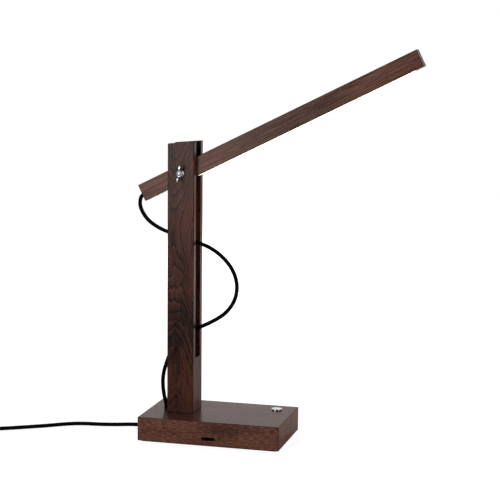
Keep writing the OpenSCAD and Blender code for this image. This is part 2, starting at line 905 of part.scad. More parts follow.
module cord_tie() {
    inner = coil_r - cord_d / 2 - 2 * seat_gap;
    outer = coil_outer + cord_d / 2 + seat_gap;
    top = coil_top_z + cord_d / 2 + seat_gap;
    color("#2a2a2d")
        translate([coil_middle[0], coil_middle[1], 0])
            rotate([0, 0, 90])
                difference() {
                    mid_box(inner - tie_t, 0, [outer - inner + 2 * tie_t, tie_w, top + tie_t]);
                    mid_box(inner, tie_t, [outer - inner, tie_w + 2 * past, top - tie_t]);
                }
}

module plug_body() {
    color("#151517") {
        translate([coil_end[0], coil_end[1], coil_top_z])
            rotate([-90, 0, 0])
                cylinder(d1 = cord_d + 1.2, d2 = plug_nose_w - 2, h = plug_relief_l);
        translate([coil_end[0], plug_body_y, 0])
            intersection() {
                linear_extrude(plug_t)
                    polygon([
                        [-plug_nose_w / 2, 0], [plug_nose_w / 2, 0], [plug_w / 2, plug_l / 2],
                        [plug_w / 2, plug_l], [-plug_w / 2, plug_l], [-plug_w / 2, plug_l / 2]
                    ]);
                translate([0, plug_l, plug_t / 2])
                    rotate([90, 0, 0])
                        linear_extrude(plug_l)
                            round_rect(plug_w, plug_t, plug_edge_r);
            }
    }
}

module plug_pins() {
    color("#c9ccd0")
        for (x = [-1, 1])
            translate([coil_end[0] + x * pin_gap / 2, plug_body_y + plug_l, coil_top_z])
                rotate([-90, 0, 0]) {
                    cylinder(d = pin_d, h = pin_l - pin_d / 4);
                    translate([0, 0, pin_l - pin_d / 4])
                        dome(pin_d, pin_d / 4);
                }
}

base_block();
base_plate();
base_pad();
plate_screws();
ballast_weight();
power_supply();
control_board();
board_spacers();
board_screws();
usb_socket();
switch_body();
switch_ring();
switch_spring();
button_cap();
post();
post_screws();
pivot_bolt();
front_washer();
wing_nut();
arm();
arm_bush();
friction_washers();
led_channel();
led_strip();
led_chips();
diffuser();
tail_bush();
base_cord_bush();
arm_cord();
mains_gland();
mains_cord();
mains_coil();
cord_tie();
plug_body();
plug_pins();
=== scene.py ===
import json
import math

import bmesh
import bpy
from bpy.props import FloatProperty, FloatVectorProperty, IntProperty, PointerProperty
from bpy.types import Operator, Panel, PropertyGroup
from mathutils import Matrix, Vector


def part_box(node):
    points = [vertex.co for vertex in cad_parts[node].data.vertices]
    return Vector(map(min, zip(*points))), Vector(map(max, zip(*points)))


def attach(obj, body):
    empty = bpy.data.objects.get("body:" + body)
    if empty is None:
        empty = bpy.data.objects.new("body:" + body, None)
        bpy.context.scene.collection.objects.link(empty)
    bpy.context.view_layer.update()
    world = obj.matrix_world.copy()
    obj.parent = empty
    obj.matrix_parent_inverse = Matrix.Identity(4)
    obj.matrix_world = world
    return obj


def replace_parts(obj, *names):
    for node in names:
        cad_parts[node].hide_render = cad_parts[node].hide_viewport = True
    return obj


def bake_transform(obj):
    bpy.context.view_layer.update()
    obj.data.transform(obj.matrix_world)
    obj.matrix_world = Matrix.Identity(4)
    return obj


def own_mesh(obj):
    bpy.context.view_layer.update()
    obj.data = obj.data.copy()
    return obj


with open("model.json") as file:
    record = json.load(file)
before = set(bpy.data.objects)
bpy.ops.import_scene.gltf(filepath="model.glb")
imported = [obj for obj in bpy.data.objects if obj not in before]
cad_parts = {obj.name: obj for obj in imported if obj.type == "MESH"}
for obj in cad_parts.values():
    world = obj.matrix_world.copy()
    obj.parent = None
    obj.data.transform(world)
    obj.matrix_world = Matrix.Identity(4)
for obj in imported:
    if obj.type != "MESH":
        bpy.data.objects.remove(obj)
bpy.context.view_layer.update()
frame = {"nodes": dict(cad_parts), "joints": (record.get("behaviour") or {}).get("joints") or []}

bl_info = {
    "name": "Wooden Table Lamp",
    "version": (1, 0, 0),
    "blender": (4, 5, 0),
    "location": "View3D > Sidebar > Lamp",
    "description": "Dresses a wooden table lamp with a lit tilting arm and sets up its studio",
    "category": "Object",
}

MM = 0.001
JOINTS = {joint["name"]: joint for joint in frame["joints"]}
PIVOT = Vector(JOINTS["arm_tilt"]["pos_m"])
ARM_ANGLE = math.radians(26.4)
ARM_DIR = Vector((math.cos(ARM_ANGLE), 0, math.sin(ARM_ANGLE)))
ARM_UP = Vector((-math.sin(ARM_ANGLE), 0, math.cos(ARM_ANGLE)))
# From the lamp's frame to one with its middle on the pivot and Z along the arm
ARM_TURN = (0, ARM_ANGLE - math.pi / 2, 0)
ARM_SHIFT = (PIVOT.dot(ARM_UP) / MM, 0, -PIVOT.dot(ARM_DIR) / MM)
# Ends of the arm along it, from the pivot, in millimetres
ARM_TAIL, ARM_TIP = -73.5, 395.0


def screen(red, green, blue):
    """A colour as seen on a screen, from 0 to 255, as Blender's linear colour."""
    parts = (red / 255, green / 255, blue / 255)
    return tuple(c / 12.92 if c < 0.0405 else ((c + 0.055) / 1.055) ** 2.4 for c in parts)


def amount(name, description, default, low=0.0, high=1.0, **kind):
    return FloatProperty(name=name, description=description, default=default, min=low, max=high, **kind)


def length(name, description, default, low, high):
    return amount(name, description, default, low, high, unit="LENGTH", subtype="DISTANCE", precision=5)


def power(name, description, default):
    return amount(name, description, default, 0, 200, unit="POWER", subtype="POWER")


def number(name, description, default, most):
    return IntProperty(name=name, description=description, default=default, min=0, max=most)


def colour(name, description, *default):
    return FloatVectorProperty(
        name=name, description=description, default=screen(*default), min=0, max=1, size=3, subtype="COLOR"
    )


class LampSizes(PropertyGroup):
    """Sizes of the details that are added to the lamp's solids"""

    cord_diameter: length("Cord Diameter", "Diameter of the arm cord and the mains lead", 0.006, 0.003, 0.008)
    thread_pitch: length("Thread Pitch", "Distance between the pivot bolt's threads", 0.001, 0.0005, 0.002)
    thread_depth: length("Thread Depth", "Depth of the pivot bolt's threads", 0.00045, 0.0001, 0.0008)
    ring_lip: length("Ring Lip", "Thickness of the switch ring's rim above its flutes", 0.0003, 0.0002, 0.002)
    # The darker line along the wooden edges is painted shade
    edge_width: length("Edge Width", "Width of the darker line along the wooden edges", 0.0016, 0, 0.01)
    gland_ribs: number("Gland Ribs", "Ribs on the strain relief at the base", 4, 8)
    relief_ribs: number("Relief Ribs", "Ribs on the plug's strain relief", 6, 12)


class LampFinishes(PropertyGroup):
    """Colours of the lamp's finishes"""

    base_light: colour("Base Light", "Light streaks of the base's wood", 107, 68, 54)
    base_dark: colour("Base Dark", "Dark streaks of the base's wood", 50, 30, 24)
    post_light: colour("Post Light", "Light streaks of the post's wood", 77, 41, 30)
    post_dark: colour("Post Dark", "Dark streaks of the post's wood", 15, 8, 7)
    arm_light: colour("Arm Light", "Light streaks of the arm's wood", 104, 71, 59)
    arm_dark: colour("Arm Dark", "Dark streaks of the arm's wood", 52, 31, 24)
    zinc: colour("Zinc", "Plating of the wing nut, bolt and screws", 178, 184, 192)
    # The washer's zinc is the nut's zinc darkened as painted shade, for the dark room its flat face mirrors
    washer: colour("Washer", "Dull plating of the front washer", 96, 99, 98)
    chrome: colour("Chrome", "Plating of the switch", 222, 224, 226)
    black_plastic: colour("Black Plastic", "Moulded plastic of the sleeves, gland and plug", 20, 20, 22)
    cord: colour("Cord", "Sheath of both cords", 3, 3, 3)
    glow: colour("Glow", "Colour of the lit diffuser", 255, 240, 206)
    edge_glow: colour("Edge Glow", "Colour of the lit diffuser along its sides", 250, 220, 172)
    glow_strength: amount("Glow Strength", "Brightness of the lit diffuser", 1.6, 0, 10)


class StageSettings(PropertyGroup):
    """Studio floor, light and camera"""

    floor_colour: colour("Floor", "Colour of the floor", 244, 244, 243)
    floor_shade: amount("Floor Shade", "How much of the light on the floor shows beside its white", 0.17)
    floor_glint: amount("Floor Glint", "How bright the floor looks in shiny surfaces", 0.34)
    ambient: amount("Ambient", "Soft light from all round", 0.2, 0, 2)
    front_glint: amount("Front Glint", "How bright the room in front looks in shiny surfaces", 0.25)
    key_power: power("Key Power", "Power of the soft light at the front left", 45)
    key_width: length("Key Width", "Width of the soft light", 1.2, 0.1, 3)
    key_height: length("Key Height", "Height of the soft light", 1.7, 0.1, 3)
    back_power: power("Back Power", "Power of the soft light behind", 85)
    side_power: power("Side Power", "Power of the soft light at the right", 33)
    lens: amount("Lens", "Focal length of the camera", 104.07, 20, 300, unit="CAMERA")


# Shader nodes

def node(tree, kind, inputs=None, **settings):
    """Adds a shader node, with its settings and with values or links for its inputs."""
    made = tree.nodes.new("ShaderNode" + kind)
    for name, value in settings.items():
        setattr(made, name, value)
    for key, value in (inputs or {}).items():
        feed(tree, made.inputs[key], value)
    return made


def feed(tree, socket, value):
    """Links an output to a socket, or sets the socket's value. A colour may come without its alpha."""
    if isinstance(value, bpy.types.NodeSocket):
        tree.links.new(value, socket)
    else:
        socket.default_value = (*value[:3], 1) if socket.type == "RGBA" else value


def set_inputs(tree, made, **values):
    """Feeds inputs of a node, by their names in lower case with underscores."""
    for key, value in values.items():
        feed(tree, made.inputs[key.replace("_", " ").title().replace("Ior", "IOR")], value)


def calc(tree, operation, *values, clamp=False):
    made = node(tree, "Math", operation=operation, use_clamp=clamp)
    for socket, value in zip(made.inputs, values):
        feed(tree, socket, value)
    return made.outputs[0]


def calc_vector(tree, operation, *values):
    made = node(tree, "VectorMath", operation=operation)
    for socket, value in zip(made.inputs, values):
        feed(tree, socket, value)
    return made.outputs["Value" if operation == "LENGTH" else "Vector"]


def split(tree, vector):
    return node(tree, "SeparateXYZ", {0: vector}).outputs


def mixed(tree, factor, first, second, blend="MIX"):
    made = node(tree, "Mix", data_type="RGBA", blend_type=blend)
    for index, value in ((0, factor), (6, first), (7, second)):
        feed(tree, made.inputs[index], value)
    return made.outputs[2]


def tinted(tree, base, tint):
    return mixed(tree, 1.0, base, tint, "MULTIPLY")


def ranged(tree, value, low, high, to_low=0.0, to_high=1.0, smooth=False):
    made = node(tree, "MapRange", interpolation_type="SMOOTHSTEP" if smooth else "LINEAR")
    for index, part in enumerate((value, low, high, to_low, to_high)):
        feed(tree, made.inputs[index], part)
    return made.outputs[0]


def noise(tree, vector, stretch, detail=2.0, rough=0.5):
    """Noise over a vector in millimetres, with so many features per millimetre along each axis."""
    scaled = calc_vector(tree, "MULTIPLY", vector, stretch)
    made = node(tree, "TexNoise", {"Vector": scaled, "Scale": 1.0, "Detail": detail, "Roughness": rough})
    return made.outputs[0]


def swing(tree, *given):
    """Noise about zero."""
    return calc(tree, "SUBTRACT", noise(tree, *given), 0.5)


def shader_group(name, inputs, outputs):
    """A new shader node group: its tree, what comes in and what goes out."""
    tree = bpy.data.node_groups.new(name, "ShaderNodeTree")
    for label, kind, default in inputs:
        socket = tree.interface.new_socket(name=label, in_out="INPUT", socket_type="NodeSocket" + kind)
        socket.default_value = default
    for label, kind in outputs:
        tree.interface.new_socket(name=label, in_out="OUTPUT", socket_type="NodeSocket" + kind)
    entry = tree.nodes.new("NodeGroupInput")
    leaving = tree.nodes.new("NodeGroupOutput")
    return tree, entry.outputs, leaving.inputs


def built_once(build):
    """Has a function that builds a shader group return the group that is there already."""
    def group():
        name = build.__name__.replace("_", " ").title()
        return bpy.data.node_groups.get(name) or build(name)
    return group


def use_group(tree, group, **inputs):
    made = node(tree, "Group", node_tree=group)
    set_inputs(tree, made, **inputs)
    return made.outputs


@built_once
def walnut_grain(name):
    """Growth rings, streaks and pores, over a vector in millimetres with Z along the grain."""
    tree, given, out = shader_group(
        name,
        [
            ("Vector", "Vector", (0, 0, 0)), ("Light", "Color", (0.2, 0.1, 0.07, 1)),
            ("Dark", "Color", (0.05, 0.03, 0.02, 1)), ("Pith", "Vector", (0, 60, 0)),
            ("Ring Spacing", "Float", 2.5), ("Ring Depth", "Float", 0.5), ("Crown Slope", "Float", 0.0),
            ("Crown Middle", "Float", 200.0), ("Crown Length", "Float", 80.0), ("Waviness", "Float", 3.0),
            ("Streak Width", "Float", 2.5), ("Streak Length", "Float", 45.0), ("Streak Depth", "Float", 0.5),
            ("Cloud Depth", "Float", 0.5), ("Pore Depth", "Float", 0.5),
            ("Patch Middle", "Vector", (0, 0, 0)), ("Patch Size", "Vector", (20, 20, 20)),
            ("Patch Depth", "Float", 0.0),
        ],
        [("Color", "Color"), ("Roughness", "Float"), ("Height", "Float")],
    )
    place = given["Vector"]
    along = split(tree, place)[2]
    from_pith = split(tree, calc_vector(tree, "ADD", place, given["Pith"]))
    flat = node(tree, "CombineXYZ", {0: from_pith[0], 1: from_pith[1]}).outputs[0]
    bow = calc(tree, "DIVIDE", calc(tree, "SUBTRACT", along, given["Crown Middle"]), given["Crown Length"])
    bow = calc(tree, "SQRT", calc(tree, "MULTIPLY_ADD", bow, bow, 1.0))
    bow = calc(tree, "MULTIPLY", calc(tree, "MULTIPLY", bow, given["Crown Length"]), given["Crown Slope"])
    width, run = given["Streak Width"], given["Streak Length"]
    grain_size = node(tree, "CombineXYZ", {0: width, 1: width, 2: run}).outputs[0]
    grain = calc_vector(tree, "DIVIDE", place, grain_size)
    streaks = swing(tree, grain, (1.0, 1.0, 1.0), 3.0, 0.6)
    fibres = swing(tree, grain, (4.0, 4.0, 3.0), 3.0, 0.6)
    cloud = swing(tree, place, (0.05, 0.05, 0.011), 2.0)
    wander = swing(tree, place, (0.05, 0.05, 0.012), 3.0, 0.5)
    wander = calc(tree, "MULTIPLY_ADD", streaks, 0.12, wander)
    radius = calc(tree, "SUBTRACT", calc_vector(tree, "LENGTH", flat), bow)
    radius = calc(tree, "MULTIPLY_ADD", wander, given["Waviness"], radius)
    phase = calc(tree, "DIVIDE", radius, given["Ring Spacing"])
    ring = node(tree, "ValToRGB", {0: calc(tree, "FRACT", phase)})
    for position, level in ((0.0, 0.0), (0.1, 0.06), (0.3, 0.42), (0.7, 0.5), (0.88, 0.66), (1.0, 1.0)):
        stops = ring.color_ramp.elements
        stop = stops[0] if position == 0 else stops[-1] if position == 1 else stops.new(position)
        stop.position, stop.color = position, (level, level, level, 1)
    year = node(tree, "TexWhiteNoise", {"W": calc(tree, "FLOOR", phase)}, noise_dimensions="1D").outputs[0]
    ring = calc(tree, "SUBTRACT", ring.outputs[0], 0.48)
    ring = calc(tree, "MULTIPLY", ring, ranged(tree, year, 0.0, 1.0, 0.25, 1.35))
    pores = ranged(tree, noise(tree, place, (2.4, 2.4, 0.1), 1.0), 0.6, 0.7, smooth=True)
    tone = calc(tree, "MULTIPLY_ADD", streaks, 3.2, calc(tree, "MULTIPLY", fibres, 1.6))
    tone = calc(tree, "MULTIPLY_ADD", tone, given["Streak Depth"], 0.5)
    tone = calc(tree, "MULTIPLY_ADD", ring, given["Ring Depth"], tone)
    tone = calc(tree, "MULTIPLY_ADD", calc(tree, "MULTIPLY", cloud, 3.0), given["Cloud Depth"], tone)
    from_patch = calc_vector(tree, "SUBTRACT", place, given["Patch Middle"])
    from_patch = calc_vector(tree, "DIVIDE", from_patch, given["Patch Size"])
    patch = ranged(tree, calc_vector(tree, "LENGTH", from_patch), 0.0, 1.0, 1.0, 0.0, smooth=True)
    patch = calc(tree, "MULTIPLY", patch, calc(tree, "MULTIPLY_ADD", cloud, 2.0, 1.0))
    tone = calc(tree, "SUBTRACT", tone, calc(tree, "MULTIPLY", patch, given["Patch Depth"]), clamp=True)
    wood = mixed(tree, tone, given["Dark"], given["Light"])
    deep = tinted(tree, given["Dark"], (0.4, 0.36, 0.35))
    wood = mixed(tree, calc(tree, "MULTIPLY", pores, given["Pore Depth"]), wood, deep)
    feed(tree, out["Color"], wood)
    rough = calc(tree, "MULTIPLY_ADD", fibres, 0.2, 0.46)
    feed(tree, out["Roughness"], calc(tree, "MULTIPLY_ADD", pores, 0.15, rough))
    feed(tree, out["Height"], calc(tree, "SUBTRACT", calc(tree, "MULTIPLY", fibres, 0.4), pores))
    return tree


@built_once
def dark_edges(name):
    """A mask along the edges of a box, over a vector in millimetres from its middle, for painted shade along
    the wooden edges.
    """
    tree, given, out = shader_group(
        name,
        [
            ("Vector", "Vector", (0, 0, 0)), ("Middle", "Vector", (0, 0, 0)),
            ("Half Size", "Vector", (1, 1, 1)), ("Width", "Float", 1.5),
        ],
        [("Mask", "Float")],
    )
    from_middle = calc_vector(tree, "SUBTRACT", given["Vector"], given["Middle"])
    from_middle = calc_vector(tree, "ABSOLUTE", from_middle)
    to_face = split(tree, calc_vector(tree, "SUBTRACT", given["Half Size"], from_middle))
    nearer = calc(tree, "MINIMUM", to_face[0], to_face[1])
    further = calc(tree, "MAXIMUM", to_face[0], to_face[1])
    to_edge = calc(tree, "MAXIMUM", nearer, calc(tree, "MINIMUM", further, to_face[2]))
    uneven = noise(tree, given["Vector"], (0.25, 0.25, 0.25), 3.0)
    reach = calc(tree, "MULTIPLY", given["Width"], ranged(tree, uneven, 0.3, 0.7, 0.6, 1.4))
    feed(tree, out["Mask"], calc(tree, "SUBTRACT", 1.0, ranged(tree, to_edge, 0.0, reach, smooth=True)))
    return tree


@built_once
def fine_wear(name):
    """Cloudy patches and hairline scratches of a handled metal surface, over a vector in millimetres."""
    tree, given, out = shader_group(
        name,
        [("Vector", "Vector", (0, 0, 0)), ("Stretch", "Vector", (6.0, 6.0, 0.5))],
        [("Patches", "Float"), ("Scratches", "Float")],
    )
    feed(tree, out["Patches"], noise(tree, given["Vector"], (0.35, 0.35, 0.35), 4.0, 0.6))
    feed(tree, out["Scratches"], noise(tree, given["Vector"], given["Stretch"], 3.0, 0.65))
    return tree


@built_once
def moulded_grain(name):
    """Fine grain and slow shade of moulded plastic and rubber, over a vector in millimetres."""
    tree, given, out = shader_group(
        name,
        [("Vector", "Vector", (0, 0, 0)), ("Cells", "Float", 3.0)],
        [("Shade", "Float"), ("Grain", "Float")],
    )
    feed(tree, out["Shade"], noise(tree, given["Vector"], (0.12, 0.12, 0.12), 3.0))
    grain = node(tree, "TexVoronoi", {"Vector": given["Vector"], "Scale": given["Cells"]})
    feed(tree, out["Grain"], grain.outputs["Distance"])
    return tree


def new_finish(name, **constants):
    """A new material: its tree, its shader, and its place on the object in metres."""
    material = bpy.data.materials.new(name)
    material.use_nodes = True
    tree = material.node_tree
    shader = tree.nodes["Principled BSDF"]
    set_inputs(tree, shader, **constants)
    place = node(tree, "TexCoord").outputs["Object"]
    return material, tree, shader, place


def in_millimetres(tree, place, turn=(0, 0, 0), shift=(0, 0, 0)):
    inputs = {"Vector": place, "Rotation": turn, "Location": shift, "Scale": (1 / MM, 1 / MM, 1 / MM)}
    return node(tree, "Mapping", inputs).outputs[0]


def raise_surface(tree, shader, height, distance, strength):
    """Feeds a height, as a bump of so many metres, to a shader's normal."""
    bump = node(tree, "Bump", {"Height": height, "Distance": distance, "Strength": strength})
    set_inputs(tree, shader, normal=bump.outputs[0])


def walnut(name, light, dark, edge_width, middle, half, turn, shift, cut,
           top=None, slot=None, flank=None, **figure):
    """Stained, clear-coated walnut.

    cut is where the end grain starts at the low and the high end, the slope of the high one and its
    coat. Above the height top the wood is darkened as painted shade. Inside a slot of some half width
    above some height it is lightened as painted light, but darkened as painted shade above a second
    height there, and the flanks at some half width are lightened as painted light.
    """
    coat = 0.6
    # Painted light and shade: the top darkened, the slot's inside lightened and darkened near its top, the
    # flanks lightened
    painted_top_shade, painted_slot_light, painted_slot_top_shade = (0.46, 0.32, 0.28), (1.4, 1.3, 1.1), (0.3, 0.25, 0.3)
    painted_flank_light, end_grain_and_edge_shade = (1.55, 1.55, 1.55), (0.42, 0.32, 0.26)
    material, tree, shader, place = new_finish(
        name, specular_ior_level=0.02, coat_weight=coat, coat_roughness=0.2, coat_ior=1.2
    )
    height = split(tree, in_millimetres(tree, place))[2]
    place = in_millimetres(tree, place, turn, shift)
    across, deep, along = split(tree, place)
    grain = use_group(tree, walnut_grain(), vector=place, light=light, dark=dark, **figure)
    edges = use_group(
        tree, dark_edges(), vector=place, middle=middle, half_size=half, width=edge_width / MM
    )["Mask"]
    wood = grain["Color"]
    # Painted shade: the wood above the height top is darkened, for the weaker light on the base's top
    if top:
        above = ranged(tree, height, top - 0.8, top - 0.1)
        wood = mixed(tree, above, wood, tinted(tree, wood, painted_top_shade))
    if slot:
        # Painted light: the slot's inside is lightened; painted shade: it is darkened near its top, above the
        # arm
        half_width, floor, darker = slot
        inside = ranged(tree, calc(tree, "ABSOLUTE", deep), half_width + 0.2, half_width + 0.1)
        inside = calc(tree, "MULTIPLY", inside, ranged(tree, along, floor, floor + 0.05))
        slot_light_and_shade = mixed(tree, ranged(tree, along, darker, darker + 20), painted_slot_light, painted_slot_top_shade)
        wood = mixed(tree, inside, wood, tinted(tree, wood, slot_light_and_shade))
    # Painted light: both flanks are lightened, for the light falling on the sides
    if flank:
        beside = ranged(tree, calc(tree, "ABSOLUTE", across), flank - 0.2, flank - 0.1)
        wood = mixed(tree, beside, wood, tinted(tree, wood, painted_flank_light))
    low, high, slope, end_coat = cut
    past_high = calc(tree, "SUBTRACT", calc(tree, "MULTIPLY_ADD", across, -slope, along), high)
    past_end = calc(tree, "MAXIMUM", past_high, calc(tree, "SUBTRACT", low, along))
    ending = ranged(tree, past_end, -0.3, -0.05)
    # End grain is darker with its own stain; the darker line along the edges is painted shade, for the
    # rounded edges turned from the light
    edge_shade_and_end_grain_mask = calc(tree, "MAXIMUM", ending, calc(tree, "MULTIPLY", edges, 0.8))
    set_inputs(
        tree, shader,
        base_color=mixed(tree, edge_shade_and_end_grain_mask, wood, tinted(tree, wood, end_grain_and_edge_shade)),
        coat_weight=ranged(tree, edge_shade_and_end_grain_mask, 0.0, 1.0, coat, end_coat),
        roughness=grain["Roughness"],
    )
    raise_surface(tree, shader, grain["Height"], 0.00008, 0.35)
    return material


def metal(name, tint, rough, spread, stretch=(6.0, 6.0, 0.5), tone=0.12):
    """Plated or bare metal with cloudy patches and hairline scratches."""
    material, tree, shader, place = new_finish(name, metallic=1.0)
    wear = use_group(tree, fine_wear(), vector=in_millimetres(tree, place), stretch=stretch)
    deeper = tuple(c * (1 - tone * 2) for c in tint)
    set_inputs(
        tree, shader,
        base_color=mixed(tree, ranged(tree, wear["Patches"], 0.3, 0.7), deeper, tint),
        roughness=ranged(tree, wear["Scratches"], 0.3, 0.75, rough, rough + spread),
    )
    raise_surface(tree, shader, wear["Scratches"], 0.00002, 0.3)
    return material


def plastic(name, tint, rough, cells=3.0, bump=0.00002, lift=0.35, shine=0.5):
    """Moulded plastic or rubber with a fine grain."""
    material, tree, shader, place = new_finish(name, specular_ior_level=shine)
    grain = use_group(tree, moulded_grain(), vector=in_millimetres(tree, place), cells=cells)
    lighter = tuple(min(1.0, c * (1 + lift) + 0.002) for c in tint)
    set_inputs(
        tree, shader,
        base_color=mixed(tree, ranged(tree, grain["Shade"], 0.3, 0.7), tint, lighter),
        roughness=ranged(tree, grain["Shade"], 0.3, 0.7, rough - 0.06, rough + 0.08),
    )
    raise_surface(tree, shader, grain["Grain"], bump, 0.5)
    return material


# Meshes

def box_mm(name):
    """The low and the high corner of a CAD node, in millimetres."""
    return [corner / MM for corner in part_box(name)]


def polar(radius, turn, height):
    return Vector((radius * math.cos(turn), radius * math.sin(turn), height))


def facing_back(x, y, z):
    """A frame at a place in millimetres, with its Z towards the back."""
    return Matrix.Translation(Vector((x, y, z)) * MM) @ Matrix.Rotation(-math.pi / 2, 4, "X")


def turned(profile, steps, place=Matrix(), closed=False):
    """Corners and faces of a shape turned about Z from (radius, height) points in millimetres."""
    corners, rings, faces = [], [], []
    for radius, height in profile:
        count = steps if radius > 1e-6 else 1
        rings.append([len(corners) + k for k in range(count)])
        for k in range(count):
            corners.append(place @ (polar(radius, 2 * math.pi * k / steps, height) * MM))
    pairs = list(zip(rings, rings[1:])) + ([(rings[-1], rings[0])] if closed else [])
    for low, high in pairs:
        for k in range(steps):
            face = [low[k % len(low)], low[(k + 1) % len(low)]]
            face += [high[(k + 1) % len(high)], high[k % len(high)]]
            face = list(dict.fromkeys(face))
            if len(face) > 2:
                faces.append(face)
    return corners, faces


def lofted(sections, closed=True):
    """Corners and faces of a skin over sections of equal point counts, with both ends filled."""
    count = len(sections[0])
    corners = [point for section in sections for point in section]
    faces = []
    for s in range(len(sections) - 1):
        for k in range(count):
            a, b = s * count + k, s * count + (k + 1) % count
            faces.append([a, b, b + count, a + count])
    if closed:
        faces.append(list(range(count))[::-1])
        faces.append([len(corners) - count + k for k in range(count)])
    return corners, faces


def joined(*shapes):
    corners, faces = [], []
    for more_corners, more_faces in shapes:
        faces += [[k + len(corners) for k in face] for face in more_faces]
        corners += more_corners
    return corners, faces


def rounded_outline(width, height, radius, steps=6):
    """Points round a flat rectangle with round corners."""
    points = []
    for corner, (x, y) in enumerate(((1, 1), (-1, 1), (-1, -1), (1, -1))):
        for k in range(steps + 1):
            turn = math.pi / 2 * (corner + k / steps)
            points.append((x * (width / 2 - radius) + radius * math.cos(turn),
                           y * (height / 2 - radius) + radius * math.sin(turn)))
    return points


def smooth_path(points, parts):
    """The points of a smooth curve through the given ones."""
    path = []
    padded = [2 * points[0] - points[1], *points, 2 * points[-1] - points[-2]]
    for a, b, c, d in zip(padded, padded[1:], padded[2:], padded[3:]):
        for k in range(parts):
            t = k / parts
            path.append(0.5 * (2 * b + (c - a) * t + (2 * a - 5 * b + 4 * c - d) * t * t
                               + (3 * b - a - 3 * c + d) * t ** 3))
    return path + [points[-1]]


def tube_along(path, radius, sides, side):
    """Corners and faces of a round tube along a path that stays near the plane square to side."""
    sections = []
    for k, point in enumerate(path):
        ahead = (path[min(k + 1, len(path) - 1)] - path[max(k - 1, 0)]).normalized()
        across = side.cross(ahead).normalized()
        upward = ahead.cross(across)
        turns = [2 * math.pi * j / sides for j in range(sides)]
        sections.append([point + radius * (math.cos(t) * across + math.sin(t) * upward) for t in turns])
    return lofted(sections)


def add_piece(name, shape, material, body, slot, *nodes, sharp=35):
    """Links a new mesh that rides on a body, takes the given finish and stands for the given CAD nodes. The
    slot is not used.
    """
    mesh = bpy.data.meshes.new(name)
    mesh.from_pydata([tuple(p) for p in shape[0]], [], shape[1])
    clean = bmesh.new()
    clean.from_mesh(mesh)
    bmesh.ops.remove_doubles(clean, verts=clean.verts, dist=1e-7)
    bmesh.ops.recalc_face_normals(clean, faces=clean.faces)
    clean.to_mesh(mesh)
    clean.free()
    mesh.shade_smooth()
    mesh.set_sharp_from_angle(angle=math.radians(sharp))
    mesh.materials.append(material)
    piece = bpy.data.objects.new(name, mesh)
    bpy.context.scene.collection.objects.link(piece)
    if body:
        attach(piece, body)
    if nodes:
        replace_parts(piece, *nodes)
    return piece


def melt(piece, voxel, smoothing):
    """Fuses a piece's overlapping shells into one cast skin with soft inner corners."""
    remesh = piece.modifiers.new("Remesh", "REMESH")
    remesh.mode, remesh.voxel_size = "VOXEL", voxel
    remesh.use_smooth_shade = True
    smooth = piece.modifiers.new("Smooth", "SMOOTH")
    smooth.factor, smooth.iterations = 0.5, smoothing
    bpy.context.view_layer.update()
    shown = piece.evaluated_get(bpy.context.evaluated_depsgraph_get())
    cast = bpy.data.meshes.new_from_object(shown)
    piece.modifiers.clear()
    piece.data = cast
    cast.shade_smooth()


def paint(finish, *nodes):
    """Gives CAD nodes a finish."""
    for name in nodes:
        mesh = frame["nodes"][name].data
        mesh.materials.clear()
        mesh.materials.append(finish)


def ease_edges(width, *nodes):
    """Breaks the sharp edges of CAD nodes, so that they catch the light."""
    for name in nodes:
        piece = frame["nodes"][name]
        weld = piece.modifiers.new("Weld", "WELD")
        weld.merge_threshold = 1e-6
        bevel = piece.modifiers.new("Bevel", "BEVEL")
        bevel.width, bevel.segments, bevel.limit_method = width, 2, "ANGLE"
        bevel.angle_limit = math.radians(40)
        bevel.use_clamp_overlap = True
        piece.modifiers.new("Normals", "WEIGHTED_NORMAL").keep_sharp = True


def on_bolt(y):
    """A frame on the pivot bolt: Z towards the front, Y up."""
    return Matrix.Translation((PIVOT.x, y * MM, PIVOT.z)) @ Matrix.Rotation(math.pi / 2, 4, "X")


# Operators

